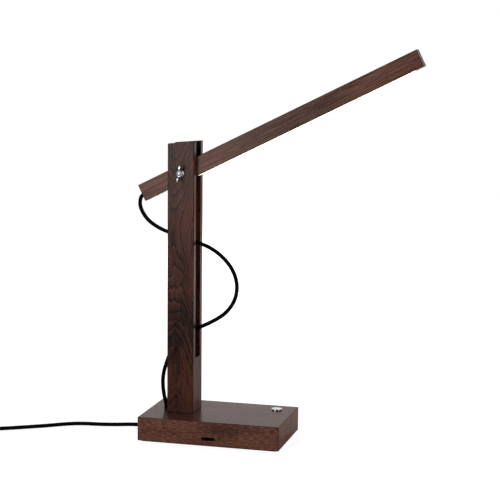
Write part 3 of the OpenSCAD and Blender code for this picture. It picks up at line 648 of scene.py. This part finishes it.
class LAMP_OT_stage(Operator):
    """Makes the camera, the floor and the light"""

    bl_idname = "lamp.stage"
    bl_label = "Stage"

    def execute(self, context):
        settings = context.scene.stage_settings
        self.make_camera(context, settings)
        self.make_world(context, settings)
        self.make_floor(context, settings)
        self.make_lights(context, settings)
        context.scene.view_settings.view_transform = "Standard"
        return {"FINISHED"}

    def make_camera(self, context, settings):
        """At the photograph's viewing angle, with its turns in degrees"""
        place = Vector((0.58846, -2.08883, 0.58539))
        yaw, pitch, roll = (math.radians(a) for a in (14.55, 7.76, -0.58))
        level = Vector((math.cos(yaw), math.sin(yaw), 0))
        ahead = polar(math.cos(pitch), yaw + math.pi / 2, -math.sin(pitch))
        down = ahead.cross(level)
        right = math.cos(roll) * level + math.sin(roll) * down
        down = math.cos(roll) * down - math.sin(roll) * level
        data = bpy.data.cameras.new("Camera")
        data.lens, data.sensor_width = settings.lens, 36
        camera = bpy.data.objects.new("Camera", data)
        turn = Matrix((right, -down, -ahead)).transposed().to_4x4()
        camera.matrix_world = Matrix.Translation(place) @ turn
        context.scene.collection.objects.link(camera)
        context.scene.camera = camera

    def make_world(self, context, settings):
        """White as the background, dimmer at the front in shiny surfaces, and softer as light"""
        world = bpy.data.worlds.new("Studio")
        world.use_nodes = True
        tree = world.node_tree
        shown, mirrored = self.rays(tree)
        ahead = split(tree, node(tree, "TexCoord").outputs["Generated"])[1]
        glint = ranged(tree, ahead, -0.3, 0.6, settings.front_glint, 1.0, smooth=True)
        level = self.chosen(tree, mirrored, settings.ambient, glint)
        level = self.chosen(tree, shown, level, 1.0)
        set_inputs(tree, tree.nodes["Background"], color=(1, 1, 1), strength=level)
        context.scene.world = world

    def rays(self, tree):
        """Which rays show the background, and which are mirrored in shiny surfaces"""
        path = node(tree, "LightPath").outputs
        shown = calc(tree, "MAXIMUM", path["Is Camera Ray"], path["Is Transmission Ray"])
        return shown, path["Is Glossy Ray"]

    def chosen(self, tree, switch, off, on):
        return ranged(tree, switch, 0.0, 1.0, off, on)

    def make_floor(self, context, settings):
        """Paper that keeps a faint shadow and is white around it"""
        half, gap = 4, 0.0001
        corners = [(-half, -half, 0), (half, -half, 0), (half, half, 0), (-half, half, 0)]
        mesh = bpy.data.meshes.new("Floor")
        mesh.from_pydata(corners, [], [(0, 1, 2, 3)])
        material = bpy.data.materials.new("Studio Floor")
        material.use_nodes = True
        tree = material.node_tree
        tree.nodes.clear()
        place = node(tree, "TexCoord").outputs["Object"]
        away = calc_vector(tree, "LENGTH", place)
        shown, mirrored = self.rays(tree)
        near = settings.floor_glint
        glint = ranged(tree, away, 0.2, 2.0, near, 2.4 * near, smooth=True)
        glint = self.chosen(tree, mirrored, 1.0, glint)
        lit = mixed(tree, glint, (0, 0, 0), settings.floor_colour)
        shade = [c * settings.floor_shade for c in settings.floor_colour]
        white = ranged(tree, away, 0.3, 0.9, 0.9, 1.0, smooth=True)
        paper = node(tree, "BsdfDiffuse", {"Color": lit}).outputs[0]
        faint = node(tree, "BsdfDiffuse", {"Color": shade}).outputs[0]
        bright = node(tree, "Emission", {"Color": (1, 1, 1), "Strength": white}).outputs[0]
        backdrop = node(tree, "AddShader", {0: faint, 1: bright}).outputs[0]
        both = node(tree, "MixShader", {0: shown, 1: paper, 2: backdrop})
        end = node(tree, "OutputMaterial", {"Surface": both.outputs[0]})
        end.is_active_output = True
        mesh.materials.append(material)
        floor = bpy.data.objects.new("Floor", mesh)
        floor.location.z = -gap
        context.scene.collection.objects.link(floor)

    def make_lights(self, context, settings):
        aim = Vector((-0.02, 0, 0.3))
        for name, watts, width, height, place in (
            ("Key", settings.key_power, settings.key_width, settings.key_height, (-0.92, -2.15, 0.89)),
            ("Back", settings.back_power, 0.4, 0.8, (-0.72, 2.2, 1.2)),
            ("Side", settings.side_power, 1.2, 2.4, (2.0, 0.15, 1.2)),
        ):
            data = bpy.data.lights.new(name, "AREA")
            data.shape, data.size, data.size_y, data.energy = "RECTANGLE", width, height, watts
            light = bpy.data.objects.new(name, data)
            light.location = place
            light.rotation_mode = "QUATERNION"
            light.rotation_quaternion = (aim - light.location).to_track_quat("-Z", "Y")
            light.visible_camera = False
            light.visible_glossy = name != "Back"
            context.scene.collection.objects.link(light)


class LAMP_OT_mains_lead(Operator):
    """Makes the mains lead with its gland, coil, tie and plug"""

    bl_idname = "lamp.mains_lead"
    bl_label = "Mains Lead"

    # The coil winds inwards, climbs and winds outwards again: degrees and millimetres
    coil_middle = Vector((-408.731, -58.778, 0))
    coil_start, coil_sweep, coil_radius, coil_pitch, coil_low = 300.96, 2640.96, 22.0, 6.5, 3.9

    def execute(self, context):
        sizes, finishes = context.scene.lamp_sizes, context.scene.lamp_finishes
        sheath = plastic("Cord Sheath", finishes.cord, 0.5, 1.6, 0.00003, shine=0.01)
        black = plastic("Lead Plastic", finishes.black_plastic, 0.4, 2.5)
        exit_point = Vector((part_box("mains_gland")[0].x, 0, 0.008))
        lead = self.make_lead(context, sizes, sheath, exit_point)
        self.make_gland(sizes, black, exit_point)
        pieces = [self.make_plug(sizes, black), self.make_pins(black, finishes), self.make_tie()]
        return {"FINISHED"}

    def coil_point(self, sweep):
        turn = math.radians(self.coil_start - sweep)
        from_middle = sweep - self.coil_sweep / 2
        radius = self.coil_radius + self.coil_pitch * abs(from_middle) / 360
        climb = math.radians(max(-90, min(90, from_middle)))
        height = self.coil_low + self.coil_pitch * (1 + math.sin(climb)) / 2
        return self.coil_middle + polar(radius, turn, height)

    def make_lead(self, context, sizes, sheath, exit_point):
        route = [(-144, 0, 7.45), (-159, 0, 6.15), (-174, 0, 4.95), (-189, 0, 4.05), (-204, 0, 3.45),
                 (-219, -0.5, 3.15), (-232.5, -4, 3.05), (-245.5, -10.5, 3.05), (-257.5, -18.5, 3.05),
                 (-269, -27, 3.05), (-281, -35, 3.05), (-293, -42.5, 3.05), (-306, -50.5, 3.05),
                 (-320, -59, 3.05), (-335, -68, 3.25), (-350, -77, 3.55), (-365, -86, 3.85), (-380, -95, 3.9)]
        free = [exit_point, exit_point - Vector((sizes.cord_diameter, 0, 0))]
        free += [Vector(p) * MM for p in route]
        step_angle = 15
        steps = math.ceil(self.coil_sweep / step_angle)
        coil = [self.coil_point(self.coil_sweep * k / steps) * MM for k in range(steps + 1)]
        points = free + coil + [coil[-1] + Vector((0, sizes.cord_diameter, 0))]
        data = bpy.data.curves.new("mains_lead", "CURVE")
        data.dimensions, data.bevel_depth, data.bevel_resolution = "3D", sizes.cord_diameter / 2, 6
        data.use_fill_caps = True
        data.resolution_u = 6
        line = data.splines.new("BEZIER")
        line.bezier_points.add(len(points) - 1)
        for knot, point in zip(line.bezier_points, points):
            knot.co = point
            knot.handle_left_type = knot.handle_right_type = "AUTO"
        data.materials.append(sheath)
        lead = bpy.data.objects.new("mains_lead", data)
        context.scene.collection.objects.link(lead)
        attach(lead, "base")
        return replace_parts(lead, "mains_cord", "mains_coil")

    def make_gland(self, sizes, black, tip):
        wall_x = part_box("base_block")[0].x
        outside = (wall_x - tip.x) / MM
        profile = [(0, -16), (5.2, -16), (5.2, -14), (3.8, -14), (3.8, -0.01), (4.7, -0.01),
                   (5.0, 0.3), (5.0, 2.0), (4.7, 2.4)]
        start, count = 2.4, sizes.gland_ribs
        step = (outside - 0.6 - start) / max(1, count)
        for k in range(count):
            low = start + k * step
            for share, sink in ((0.08, 0.0), (0.55, 0.0), (0.65, 0.4), (0.92, 0.4)):
                height = low + share * step
                profile.append((4.5 - 0.9 * (height - start) / (outside - start) - sink, height))
        profile += [(3.6, outside - 0.5), (3.4, outside), (0, outside)]
        place = Matrix.Translation((wall_x, 0, tip.z)) @ Matrix.Rotation(-math.pi / 2, 4, "Y")
        shape = turned(profile, 40, place)
        add_piece("mains_gland_ribbed", shape, black, "base", "black_plastic", "mains_gland")

    def make_plug(self, sizes, black):
        low, high = box_mm("plug_body")
        middle_x, middle_z = (low.x + high.x) / 2, (low.z + high.z) / 2
        profile, count = [(0, 0), (3.5, 0)], sizes.relief_ribs
        start, ribbed, taper = 0.6, 20.4, 22
        for k in range(count):
            for share, sink in ((0.1, 0.0), (0.55, 0.0), (0.65, 0.5), (0.95, 0.5)):
                height = start + (k + share) * ribbed / count
                profile.append((3.6 + 1.4 * height / taper - sink, height))
        profile += [(5.0, 21.4), (5.0, 23), (0, 23)]
        relief = turned(profile, 32, facing_back(middle_x, low.y, middle_z))
        # Along the body: how far, how wide, and which share of its height
        stations = [(0.0, 9.5, 0.52), (0.3, 11, 0.67), (1.4, 12.4, 0.83), (4, 15, 0.94), (7, 18.6, 0.985),
                    (10, 22, 1), (12.5, 24.4, 1), (15, 26, 1), (17.5, 26.8, 1), (21, 27, 1), (24, 26.9, 1),
                    (27, 26.8, 1), (30, 26.6, 0.99), (31.4, 26.2, 0.975), (32, 25, 0.91)]
        nose = high.y - stations[-1][0]
        sections = []
        for k, (along, width, share) in enumerate(stations):
            height = share * (high.z - low.z)
            if k in (5, 7, 9):  # Grip grooves
                width, height = width - 0.9, height - 0.5
            outline = rounded_outline(width, height, min(width, height) * 0.36)
            sections.append([Vector((middle_x + x, nose + along, middle_z + z)) * MM for x, z in outline])
        shape = joined(relief, lofted(sections))
        return add_piece("plug_moulded", shape, black, "base", "black_plastic", "plug_body", sharp=30)

    def make_pins(self, black, finishes):
        low, high = box_mm("plug_pins")
        middle_z = (low.z + high.z) / 2
        pin_r, sleeve = 2, 9.9
        profile = [(0, -0.5), (pin_r, -0.5), (pin_r, 9.6), (1.9, 9.8), (1.9, 10), (pin_r, 10.2),
                   (pin_r, 17.6), (1.8, 18.4), (1.2, 18.9), (0, 19)]
        places = [facing_back(x, low.y, middle_z) for x in (low.x + pin_r, high.x - pin_r)]
        pins = [turned(profile, 28, place) for place in places]
        nickel = metal("Pin Nickel", finishes.zinc, 0.22, 0.15)
        piece = add_piece("plug_pins_sleeved", joined(*pins), nickel, "base", "zinc", "plug_pins")
        piece.data.materials.append(black)
        for face in piece.data.polygons:
            if face.center.y < (low.y + sleeve) * MM:
                face.material_index = 1
        return piece

    def make_tie(self):
        """A hook-and-loop strap round the coil"""
        low, high = box_mm("cord_tie")
        thick, corner_r = 0.8, 3.2
        middle = (low + high) / 2
        reach, tall = high.y - low.y, high.z - low.z
        outline = rounded_outline(reach, tall, corner_r)
        inner = rounded_outline(reach - 2 * thick, tall - 2 * thick, corner_r - thick)
        material, tree, shader, place = new_finish("Tie Fabric", sheen_weight=0.3)
        place = in_millimetres(tree, place)
        loops = node(tree, "TexVoronoi", {"Vector": place, "Scale": 2.2}).outputs["Distance"]
        set_inputs(
            tree, shader,
            base_color=mixed(tree, loops, screen(22, 22, 24), screen(44, 44, 47)),
            roughness=ranged(tree, loops, 0.0, 0.6, 0.95, 0.7),
        )
        raise_surface(tree, shader, loops, 0.0003, 0.7)
        rings = []
        for x, points in ((low.x, inner), (low.x, outline), (high.x, outline), (high.x, inner)):
            rings.append([Vector((x, middle.y + y, middle.z + z)) * MM for y, z in points])
        shape = lofted(rings + [rings[0]], closed=False)
        return add_piece("coil_tie", shape, material, "base", "cord_black", "cord_tie")


class LAMP_OT_arm_cord(Operator):
    """Makes the cord from the arm's tail through the post to the base"""

    bl_idname = "lamp.arm_cord"
    bl_label = "Arm Cord"

    def execute(self, context):
        sizes, finishes = context.scene.lamp_sizes, context.scene.lamp_finishes
        # The cord starts inside the tail, below its middle, and leaves it straight
        below, inside, clear = 0.0025, 0.0084, 0.0012
        tail = PIVOT + ARM_TAIL * MM * ARM_DIR - below * ARM_UP
        foot = Vector((PIVOT.x, 0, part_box("base_block")[1].z))
        route = [(-69, 0, 329.6), (-71.3, 0, 325.6), (-72.1, 0, 320.6), (-72, 0, 315.4), (-70.4, 0, 309.6),
                 (-67.4, 0, 303.6), (-63.6, 0, 298), (-57.8, 0, 291.8), (-49.2, 0, 285.6), (-37.7, 0, 279.6),
                 (-24, 0, 274.5), (-9, 0, 269.8), (6, -1, 265.4), (21, -2, 261.2), (34.5, -3, 257),
                 (45.4, -3, 251.6), (54.5, -3, 245.6), (64.7, -3, 236.6), (74, -3, 225.1), (80.6, -3, 211.4),
                 (83.2, -3, 197.1), (81.5, -3, 181.9), (75.4, -3, 167.8), (65.2, -3, 155.3),
                 (53.2, -2, 146.2), (38.2, -2, 137.6), (24, -1, 130.6), (10, 0, 122.2), (-4, 0, 111.9),
                 (-16, 0, 99.5), (-24, 0, 85.5), (-29, 0, 72.5), (-33, 0, 59), (-35, 0, 45), (-34.5, 0, 31),
                 (-32.5, 0, 18.5), (-29.5, 0, 6), (-29.5, 0, 0), (-29.5, 0, -9.4)]
        points = [tail + inside * ARM_DIR, tail, tail - clear * ARM_DIR]
        path = smooth_path(points + [foot + Vector(p) * MM for p in route], 4)
        sheath = bpy.data.materials["Cord Sheath"]
        shape = tube_along(path, sizes.cord_diameter / 2, 16, Vector((0, 1, 0)))
        cord = add_piece("arm_cord_round", shape, sheath, None, "cord_black", "arm_cord", sharp=60)
        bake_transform(cord)
        black = plastic("Sleeve Plastic", finishes.black_plastic, 0.45)
        paint(black, "tail_bush", "base_cord_bush")
        ease_edges(0.0003, "tail_bush", "base_cord_bush")
        return {"FINISHED"}


class LAMP_OT_wood(Operator):
    """Finishes the wooden base, post and arm"""

    bl_idname = "lamp.wood"
    bl_label = "Wood"

    def execute(self, context):
        sizes, finishes = context.scene.lamp_sizes, context.scene.lamp_finishes
        low, high = box_mm("base_block")
        middle = (low + high) / 2
        half = (high - low) / 2
        # The base's top is darkened as painted shade
        paint(walnut(
            "Base Walnut", finishes.base_light, finishes.base_dark, sizes.edge_width,
            middle=(0, middle.y, middle.x), half=(half.z, half.y, half.x), turn=(0, -math.pi / 2, 0),
            shift=(middle.z, 0, 0), cut=(low.x - 1, high.x + 1, 0, 0.2), top=high.z,
            pith=(64, 90, 0), ring_spacing=4.5, waviness=12.0,
            ring_depth=0.3, streak_width=1.2, streak_length=8.0, streak_depth=1.1, cloud_depth=0.3,
            pore_depth=0.7, patch_middle=(-7, low.y, 25), patch_size=(22, 40, 60), patch_depth=0.42,
        ), "base_block")
        low, high = box_mm("post")
        middle = (low + high) / 2
        half = (high - low) / 2
        rise, slot_half, slot_floor, slot_shade_from = 3.5, 12.3, 84.1, 370
        end_grain = high.z - low.z - rise / 2
        # The post's slot inside takes painted light, with painted shade near its top, and its flanks take
        # painted light
        paint(walnut(
            "Post Walnut", finishes.post_light, finishes.post_dark, sizes.edge_width,
            middle=(0, 0, half.z), half=half, turn=(0, 0, 0), shift=(-middle.x, 0, -low.z),
            cut=(-1, end_grain, rise / (2 * half.x), 0.06), slot=(slot_half, slot_floor, slot_shade_from),
            flank=half.x, pith=(7.5, 60, 0), ring_spacing=2.5, ring_depth=1.2, waviness=9.0,
            crown_slope=0.18, crown_middle=280.0, crown_length=70.0,
            streak_width=1.0, streak_length=22.0, streak_depth=0.5, cloud_depth=0.55, pore_depth=0.5,
            patch_middle=(0, low.y, 130), patch_size=(45, 45, 110), patch_depth=0.42,
        ), "post")
        half = Vector((13.25, 11.5, (ARM_TIP - ARM_TAIL) / 2))
        paint(walnut(
            "Arm Walnut", finishes.arm_light, finishes.arm_dark, 1.4 * sizes.edge_width,
            middle=(0, 0, ARM_TAIL + half.z), half=half, turn=ARM_TURN, shift=ARM_SHIFT,
            cut=(ARM_TAIL, ARM_TIP, 0, 0.25),
            pith=(70, 30, 0), ring_spacing=2.6, ring_depth=0.35, waviness=5.0, streak_width=1.0,
            streak_length=40.0, streak_depth=0.9, cloud_depth=0.4, pore_depth=0.6,
            patch_middle=(0, -half.y, 185), patch_size=(50, 50, 110), patch_depth=0.4,
        ), "arm")
        return {"FINISHED"}


class LAMP_OT_light(Operator):
    """Finishes the lit strip under the arm"""

    bl_idname = "lamp.light"
    bl_label = "Light Strip"

    def execute(self, context):
        finishes = context.scene.lamp_finishes
        paint(self.lit_diffuser(finishes), "diffuser")
        paint(metal("Channel Aluminium", screen(190, 192, 195), 0.3, 0.2), "led_channel")
        paint(plastic("Strip White", screen(236, 236, 230), 0.5, 1.2), "led_strip")
        paint(plastic("Chip Yellow", screen(240, 214, 120), 0.35, 1.5), "led_chips")
        return {"FINISHED"}

    def lit_diffuser(self, finishes):
        material, tree, shader, place = new_finish(
            "Lit Diffuser", emission_strength=finishes.glow_strength, roughness=0.5
        )
        place = in_millimetres(tree, place, ARM_TURN, ARM_SHIFT)
        across = split(tree, place)[1]
        to_side = ranged(tree, calc(tree, "ABSOLUTE", across), 3.0, 7.2, 0.0, 1.0, smooth=True)
        cloud = noise(tree, place, (0.8, 0.8, 0.8), 3.0)
        share = calc(tree, "MULTIPLY_ADD", cloud, 0.08, calc(tree, "MULTIPLY", to_side, 0.55))
        set_inputs(
            tree, shader,
            emission_color=mixed(tree, share, finishes.glow, finishes.edge_glow),
            base_color=mixed(tree, cloud, screen(236, 232, 220), screen(246, 243, 234)),
        )
        return material


class LAMP_OT_clamp(Operator):
    """Makes the pivot bolt, the washers, the bush and the wing nut"""

    bl_idname = "lamp.clamp"
    bl_label = "Pivot Clamp"

    def execute(self, context):
        sizes, finishes = context.scene.lamp_sizes, context.scene.lamp_finishes
        zinc = metal("Zinc Plate", finishes.zinc, 0.2, 0.22, (3.0, 3.0, 3.0), 0.1)
        self.make_bolt(sizes, zinc)
        # The front washer takes a darker copy of the zinc: painted shade
        self.make_washer(metal("Washer Zinc", finishes.washer, 0.35, 0.2, (3.0, 3.0, 3.0), 0.1))
        self.make_nut(zinc)
        paint(metal("Bush Brass", screen(196, 158, 88), 0.25, 0.2), "arm_bush")
        paint(plastic("Friction Fibre", screen(43, 43, 45), 0.7, 2.0, 0.00005), "friction_washers")
        return {"FINISHED"}

    def make_bolt(self, sizes, zinc):
        low, high = box_mm("pivot_bolt")
        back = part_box("post")[1].y / MM
        head_r, rim = 7.0, 0.25
        rise = high.y - back - rim
        ball = (head_r ** 2 + rise ** 2) / (2 * rise)
        head = [(0, 0), (head_r - 0.3, 0), (head_r, rim)]
        for k in range(1, 9):
            radius = head_r * (1 - k / 8)
            head.append((radius, rim + rise - ball + math.sqrt(ball * ball - radius * radius)))
        dome = turned(head, 48, facing_back(PIVOT.x / MM, back, PIVOT.z / MM))
        axis = Vector((PIVOT.x, 0, PIVOT.z))
        neck = [[axis + Vector((x, y, z)) * MM for x, z in rounded_outline(6, 6, 0.3, 2)]
                for y in (back, back - 3.5)]
        tip, pitch, depth = back - low.y, sizes.thread_pitch / MM, sizes.thread_depth / MM
        shank_end, fine = 39.0, 0.1
        place, steps = on_bolt(back), 48
        levels = [3.0, shank_end]
        levels += [shank_end + fine * k for k in range(1, int((tip - 0.9 - shank_end) / fine))]
        sections = []
        for height in levels:
            ring = []
            fade = max(0.0, min(1.0, height - shank_end))
            for k in range(steps):
                wave = abs(((height / pitch - k / steps) % 1.0) * 2 - 1)
                radius = 3.0 - depth * fade * max(0.0, min(1.0, 1.25 * wave - 0.1))
                ring.append(place @ (polar(radius, 2 * math.pi * k / steps, height) * MM))
            sections.append(ring)
        for share, radius in ((0.3, 2.75), (0.75, 2.3), (1.0, 1.9)):
            height = levels[-1] + (tip - levels[-1]) * share
            turns = [2 * math.pi * k / steps for k in range(steps)]
            sections.append([place @ (polar(radius, turn, height) * MM) for turn in turns])
        add_piece("pivot_bolt_threaded", joined(dome, lofted(neck), lofted(sections)), zinc, "base", "zinc",
                  "pivot_bolt", sharp=50)

    def make_washer(self, zinc):
        low, high = box_mm("front_washer")
        outer, thick = (high.x - low.x) / 2, high.y - low.y
        inner, edge = 3.05, 0.3
        profile = [(inner, edge), (inner + edge, 0), (outer - edge, 0), (outer, edge), (outer, thick - edge),
                   (outer - edge, thick), (inner + edge, thick), (inner, thick - edge)]
        shape = turned(profile, 56, on_bolt(high.y), closed=True)
        add_piece("front_washer_round", shape, zinc, "clamp", "zinc", "front_washer", sharp=50)

    def make_nut(self, zinc):
        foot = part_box("wing_nut")[1].y / MM
        lean = math.radians(10)
        hub = [(3.2, 0), (5.5, 0), (5.5, 0.5), (4.45, 1.7), (4.2, 2.3), (4.2, 6.4), (3.95, 7), (3.4, 7),
               (3.2, 6.6)]
        wing = [(3.6, 0.9), (5.6, 1.6), (7.6, 2.8), (9.6, 4.7), (11.4, 6.4), (12.7, 7.8), (13.2, 9.2),
                (12.6, 10.3), (11.2, 10.95), (9.2, 11.35), (7.6, 11.5), (6.7, 11.1), (5.8, 9.4), (5.0, 7.5),
                (3.6, 6.7)]
        shapes = [turned(hub, 48, closed=True)]
        for turn in (0, math.pi):
            place = Matrix.Rotation(turn - lean, 4, "Z")
            shapes.append(lofted([
                [place @ (Vector((side * (1.45 - 0.022 * out), out, up)) * MM) for out, up in wing]
                for side in (-1, 1)
            ]))
        corners, faces = joined(*shapes)
        shape = [on_bolt(foot) @ corner for corner in corners], faces
        nut = add_piece("wing_nut_cast", shape, zinc, "nut", "zinc", "wing_nut")
        melt(nut, voxel=0.00025, smoothing=5)
        nut.data.materials.clear()
        nut.data.materials.append(zinc)


class LAMP_OT_switch(Operator):
    """Makes the fluted switch ring and the button"""

    bl_idname = "lamp.switch"
    bl_label = "Switch"

    def execute(self, context):
        sizes, finishes = context.scene.lamp_sizes, context.scene.lamp_finishes
        chrome = metal("Switch Chrome", finishes.chrome, 0.34, 0.1, (2.0, 2.0, 2.0), 0.04)
        # The near-black finish fills only the ring's flutes: painted shade for their dark hollows
        black = plastic("Painted Flute Shade", screen(6, 6, 7), 0.6, shine=0.1)
        self.make_ring(sizes, chrome, black)
        self.make_button(chrome)
        paint(self.barrel(finishes), "switch_body")
        self.make_spring(metal("Spring Steel", screen(190, 193, 198), 0.25, 0.2))
        return {"FINISHED"}

    def sized(self, name):
        """The middle of a round node's foot, its radius and its height, in millimetres"""
        low, high = box_mm(name)
        middle = (low + high) / 2
        return Vector((middle.x, middle.y, low.z)), (high.x - low.x) / 2, high.z - low.z

    def make_ring(self, sizes, chrome, black):
        foot, outer, tall = self.sized("switch_ring")
        inner, lip, steps, flutes = 6.4, sizes.ring_lip / MM, 192, 8
        flute_r, flute_at, first = 1.9, outer + 0.76, math.radians(13) - math.pi / 2
        sections = []
        for k in range(steps):
            turn = 2 * math.pi * k / steps
            near = (turn + math.pi / flutes) % (2 * math.pi / flutes) - math.pi / flutes
            off = flute_at * math.sin(near)
            wall = outer
            if abs(off) < flute_r:
                wall = min(outer, flute_at * math.cos(near) - math.sqrt(flute_r ** 2 - off ** 2))
            # The lands lean in a little towards their foot, so that they don't mirror the light
            drawn = -0.1 * max(0.0, 1 - (outer - wall))
            profile = [(inner, 0), (wall + drawn, 0), (wall, tall - lip), (outer - 0.05, tall - lip),
                       (outer - 0.15, tall - 0.25), (outer - 0.35, tall - 0.1), (outer - 0.7, tall),
                       (inner + 0.25, tall), (inner, tall - 0.2)]
            sections.append([(foot + polar(r, turn + first, z)) * MM for r, z in profile])
        shape = lofted(sections + [sections[0]], closed=False)
        piece = add_piece("switch_ring_fluted", shape, chrome, "base", "chrome", "switch_ring", sharp=30)
        piece.data.materials.append(black)
        # Faces deep in the flutes take the near-black finish as painted shade
        for face in piece.data.polygons:
            from_foot = face.center / MM - foot
            if outer - 0.12 > from_foot.xy.length > inner + 0.1 and from_foot.z < tall - lip + 0.01:
                face.material_index = 1

    def make_button(self, chrome):
        foot, radius, tall = self.sized("button_cap")
        profile = [(0, 0), (radius - 0.3, 0), (radius, 0.3), (radius, tall - 0.6)]
        profile += [(radius - 0.1, tall - 0.45)]
        profile += [(radius * (1 - k / 8), tall - 0.4 * (1 - k / 8) ** 2) for k in range(1, 9)]
        shape = turned(profile, 64, Matrix.Translation(foot * MM))
        add_piece("button_domed", shape, chrome, "button", "chrome", "button_cap", sharp=50)

    def make_spring(self, steel):
        """A coil spring, wound from wire"""
        foot, outer, tall = self.sized("switch_spring")
        wire, turns, steps = 0.4, 3, 24
        path = []
        for k in range(turns * steps + 1):
            height = wire + (tall - 2 * wire) * k / (turns * steps)
            path.append((foot + polar(outer - wire, 2 * math.pi * k / steps, height)) * MM)
        shape = tube_along(path, wire * MM, 10, Vector((0, 0, 1)))
        spring = add_piece(
            "switch_spring_wound", shape, steel, "base", "spring_steel", "switch_spring", sharp=60
        )
        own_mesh(spring)

    def barrel(self, finishes):
        """A plated barrel above a black housing"""
        housing_top = 28.0
        material, tree, shader, place = new_finish("Switch Barrel")
        place = in_millimetres(tree, place)
        wear = use_group(tree, fine_wear(), vector=place, stretch=(2.0, 2.0, 2.0))
        up = split(tree, place)[2]
        plated = ranged(tree, up, housing_top, housing_top + 0.2)
        bright = mixed(tree, wear["Patches"], screen(190, 192, 195), finishes.chrome)
        set_inputs(
            tree, shader,
            base_color=mixed(tree, plated, finishes.black_plastic, bright),
            metallic=plated,
            roughness=ranged(tree, wear["Scratches"], 0.3, 0.7, 0.2, 0.4),
        )
        return material


class LAMP_OT_inside(Operator):
    """Finishes the charging socket, the underside and the pieces inside the base"""

    bl_idname = "lamp.inside"
    bl_label = "Underside and Inside"

    def execute(self, context):
        finishes = context.scene.lamp_finishes
        paint(plastic("Socket Plastic", screen(6, 6, 6), 0.6, shine=0.06), "usb_socket")
        ease_edges(0.0002, "usb_socket")
        paint(plastic("Pad Rubber", screen(30, 30, 32), 0.85, 0.9, 0.0003), "base_pad")
        paint(metal("Plate Steel", screen(150, 153, 157), 0.35, 0.25, (0.15, 5.0, 5.0)), "base_plate")
        screws = metal("Screw Zinc", finishes.zinc, 0.25, 0.2, (3.0, 3.0, 3.0))
        paint(screws, "plate_screws", "board_screws", "post_screws")
        paint(metal("Ballast Iron", screen(96, 99, 103), 0.5, 0.25, (1.0, 1.0, 1.0), 0.2), "ballast_weight")
        paint(plastic("Supply Plastic", screen(226, 226, 221), 0.5, 1.5, 0.00004, 0.05), "power_supply")
        paint(metal("Spacer Brass", screen(190, 152, 84), 0.3, 0.2), "board_spacers")
        paint(self.board(), "control_board")
        return {"FINISHED"}

    def board(self):
        """Green lacquer over copper tracks"""
        material, tree, shader, place = new_finish("Board Green", roughness=0.35)
        place = in_millimetres(tree, place)
        tracks = node(tree, "TexBrick", {
            "Vector": place, "Color1": (0, 0, 0), "Color2": (0, 0, 0), "Mortar": (1, 1, 1), "Scale": 0.3,
            "Mortar Size": 0.03,
        }).outputs["Color"]
        cloud = noise(tree, place, (0.1, 0.1, 0.1))
        lacquer = mixed(tree, cloud, screen(22, 80, 46), screen(30, 96, 56))
        set_inputs(tree, shader, base_color=mixed(tree, tracks, lacquer, screen(62, 124, 70)))
        raise_surface(tree, shader, tracks, 0.00005, 0.5)
        return material


class LAMP_PT_panel(Panel):
    """Lists the lamp's pieces and settings"""

    bl_idname = "LAMP_PT_panel"
    bl_label = "Wooden Table Lamp"
    bl_space_type = "VIEW_3D"
    bl_region_type = "UI"
    bl_category = "Lamp"

    def draw(self, context):
        for operator in OPERATORS:
            self.layout.operator(operator.bl_idname)
        for group in (context.scene.lamp_sizes, context.scene.lamp_finishes, context.scene.stage_settings):
            box = self.layout.box()
            for name in group.__annotations__:
                box.prop(group, name)


GROUPS = (LampSizes, LampFinishes, StageSettings)
OPERATORS = (LAMP_OT_stage, LAMP_OT_mains_lead, LAMP_OT_arm_cord, LAMP_OT_wood, LAMP_OT_light, LAMP_OT_clamp,
             LAMP_OT_switch, LAMP_OT_inside)


def register():
    for made in (*GROUPS, *OPERATORS, LAMP_PT_panel):
        bpy.utils.register_class(made)
    bpy.types.Scene.lamp_sizes = PointerProperty(type=LampSizes)
    bpy.types.Scene.lamp_finishes = PointerProperty(type=LampFinishes)
    bpy.types.Scene.stage_settings = PointerProperty(type=StageSettings)


def unregister():
    for name in ("stage_settings", "lamp_finishes", "lamp_sizes"):
        delattr(bpy.types.Scene, name)
    for made in reversed((*GROUPS, *OPERATORS, LAMP_PT_panel)):
        bpy.utils.unregister_class(made)


def main():
    register()
    bpy.ops.lamp.stage()
    bpy.ops.lamp.mains_lead()
    bpy.ops.lamp.arm_cord()
    bpy.ops.lamp.wood()
    bpy.ops.lamp.light()
    bpy.ops.lamp.clamp()
    bpy.ops.lamp.switch()
    bpy.ops.lamp.inside()


if __name__ == "__main__":
    main()
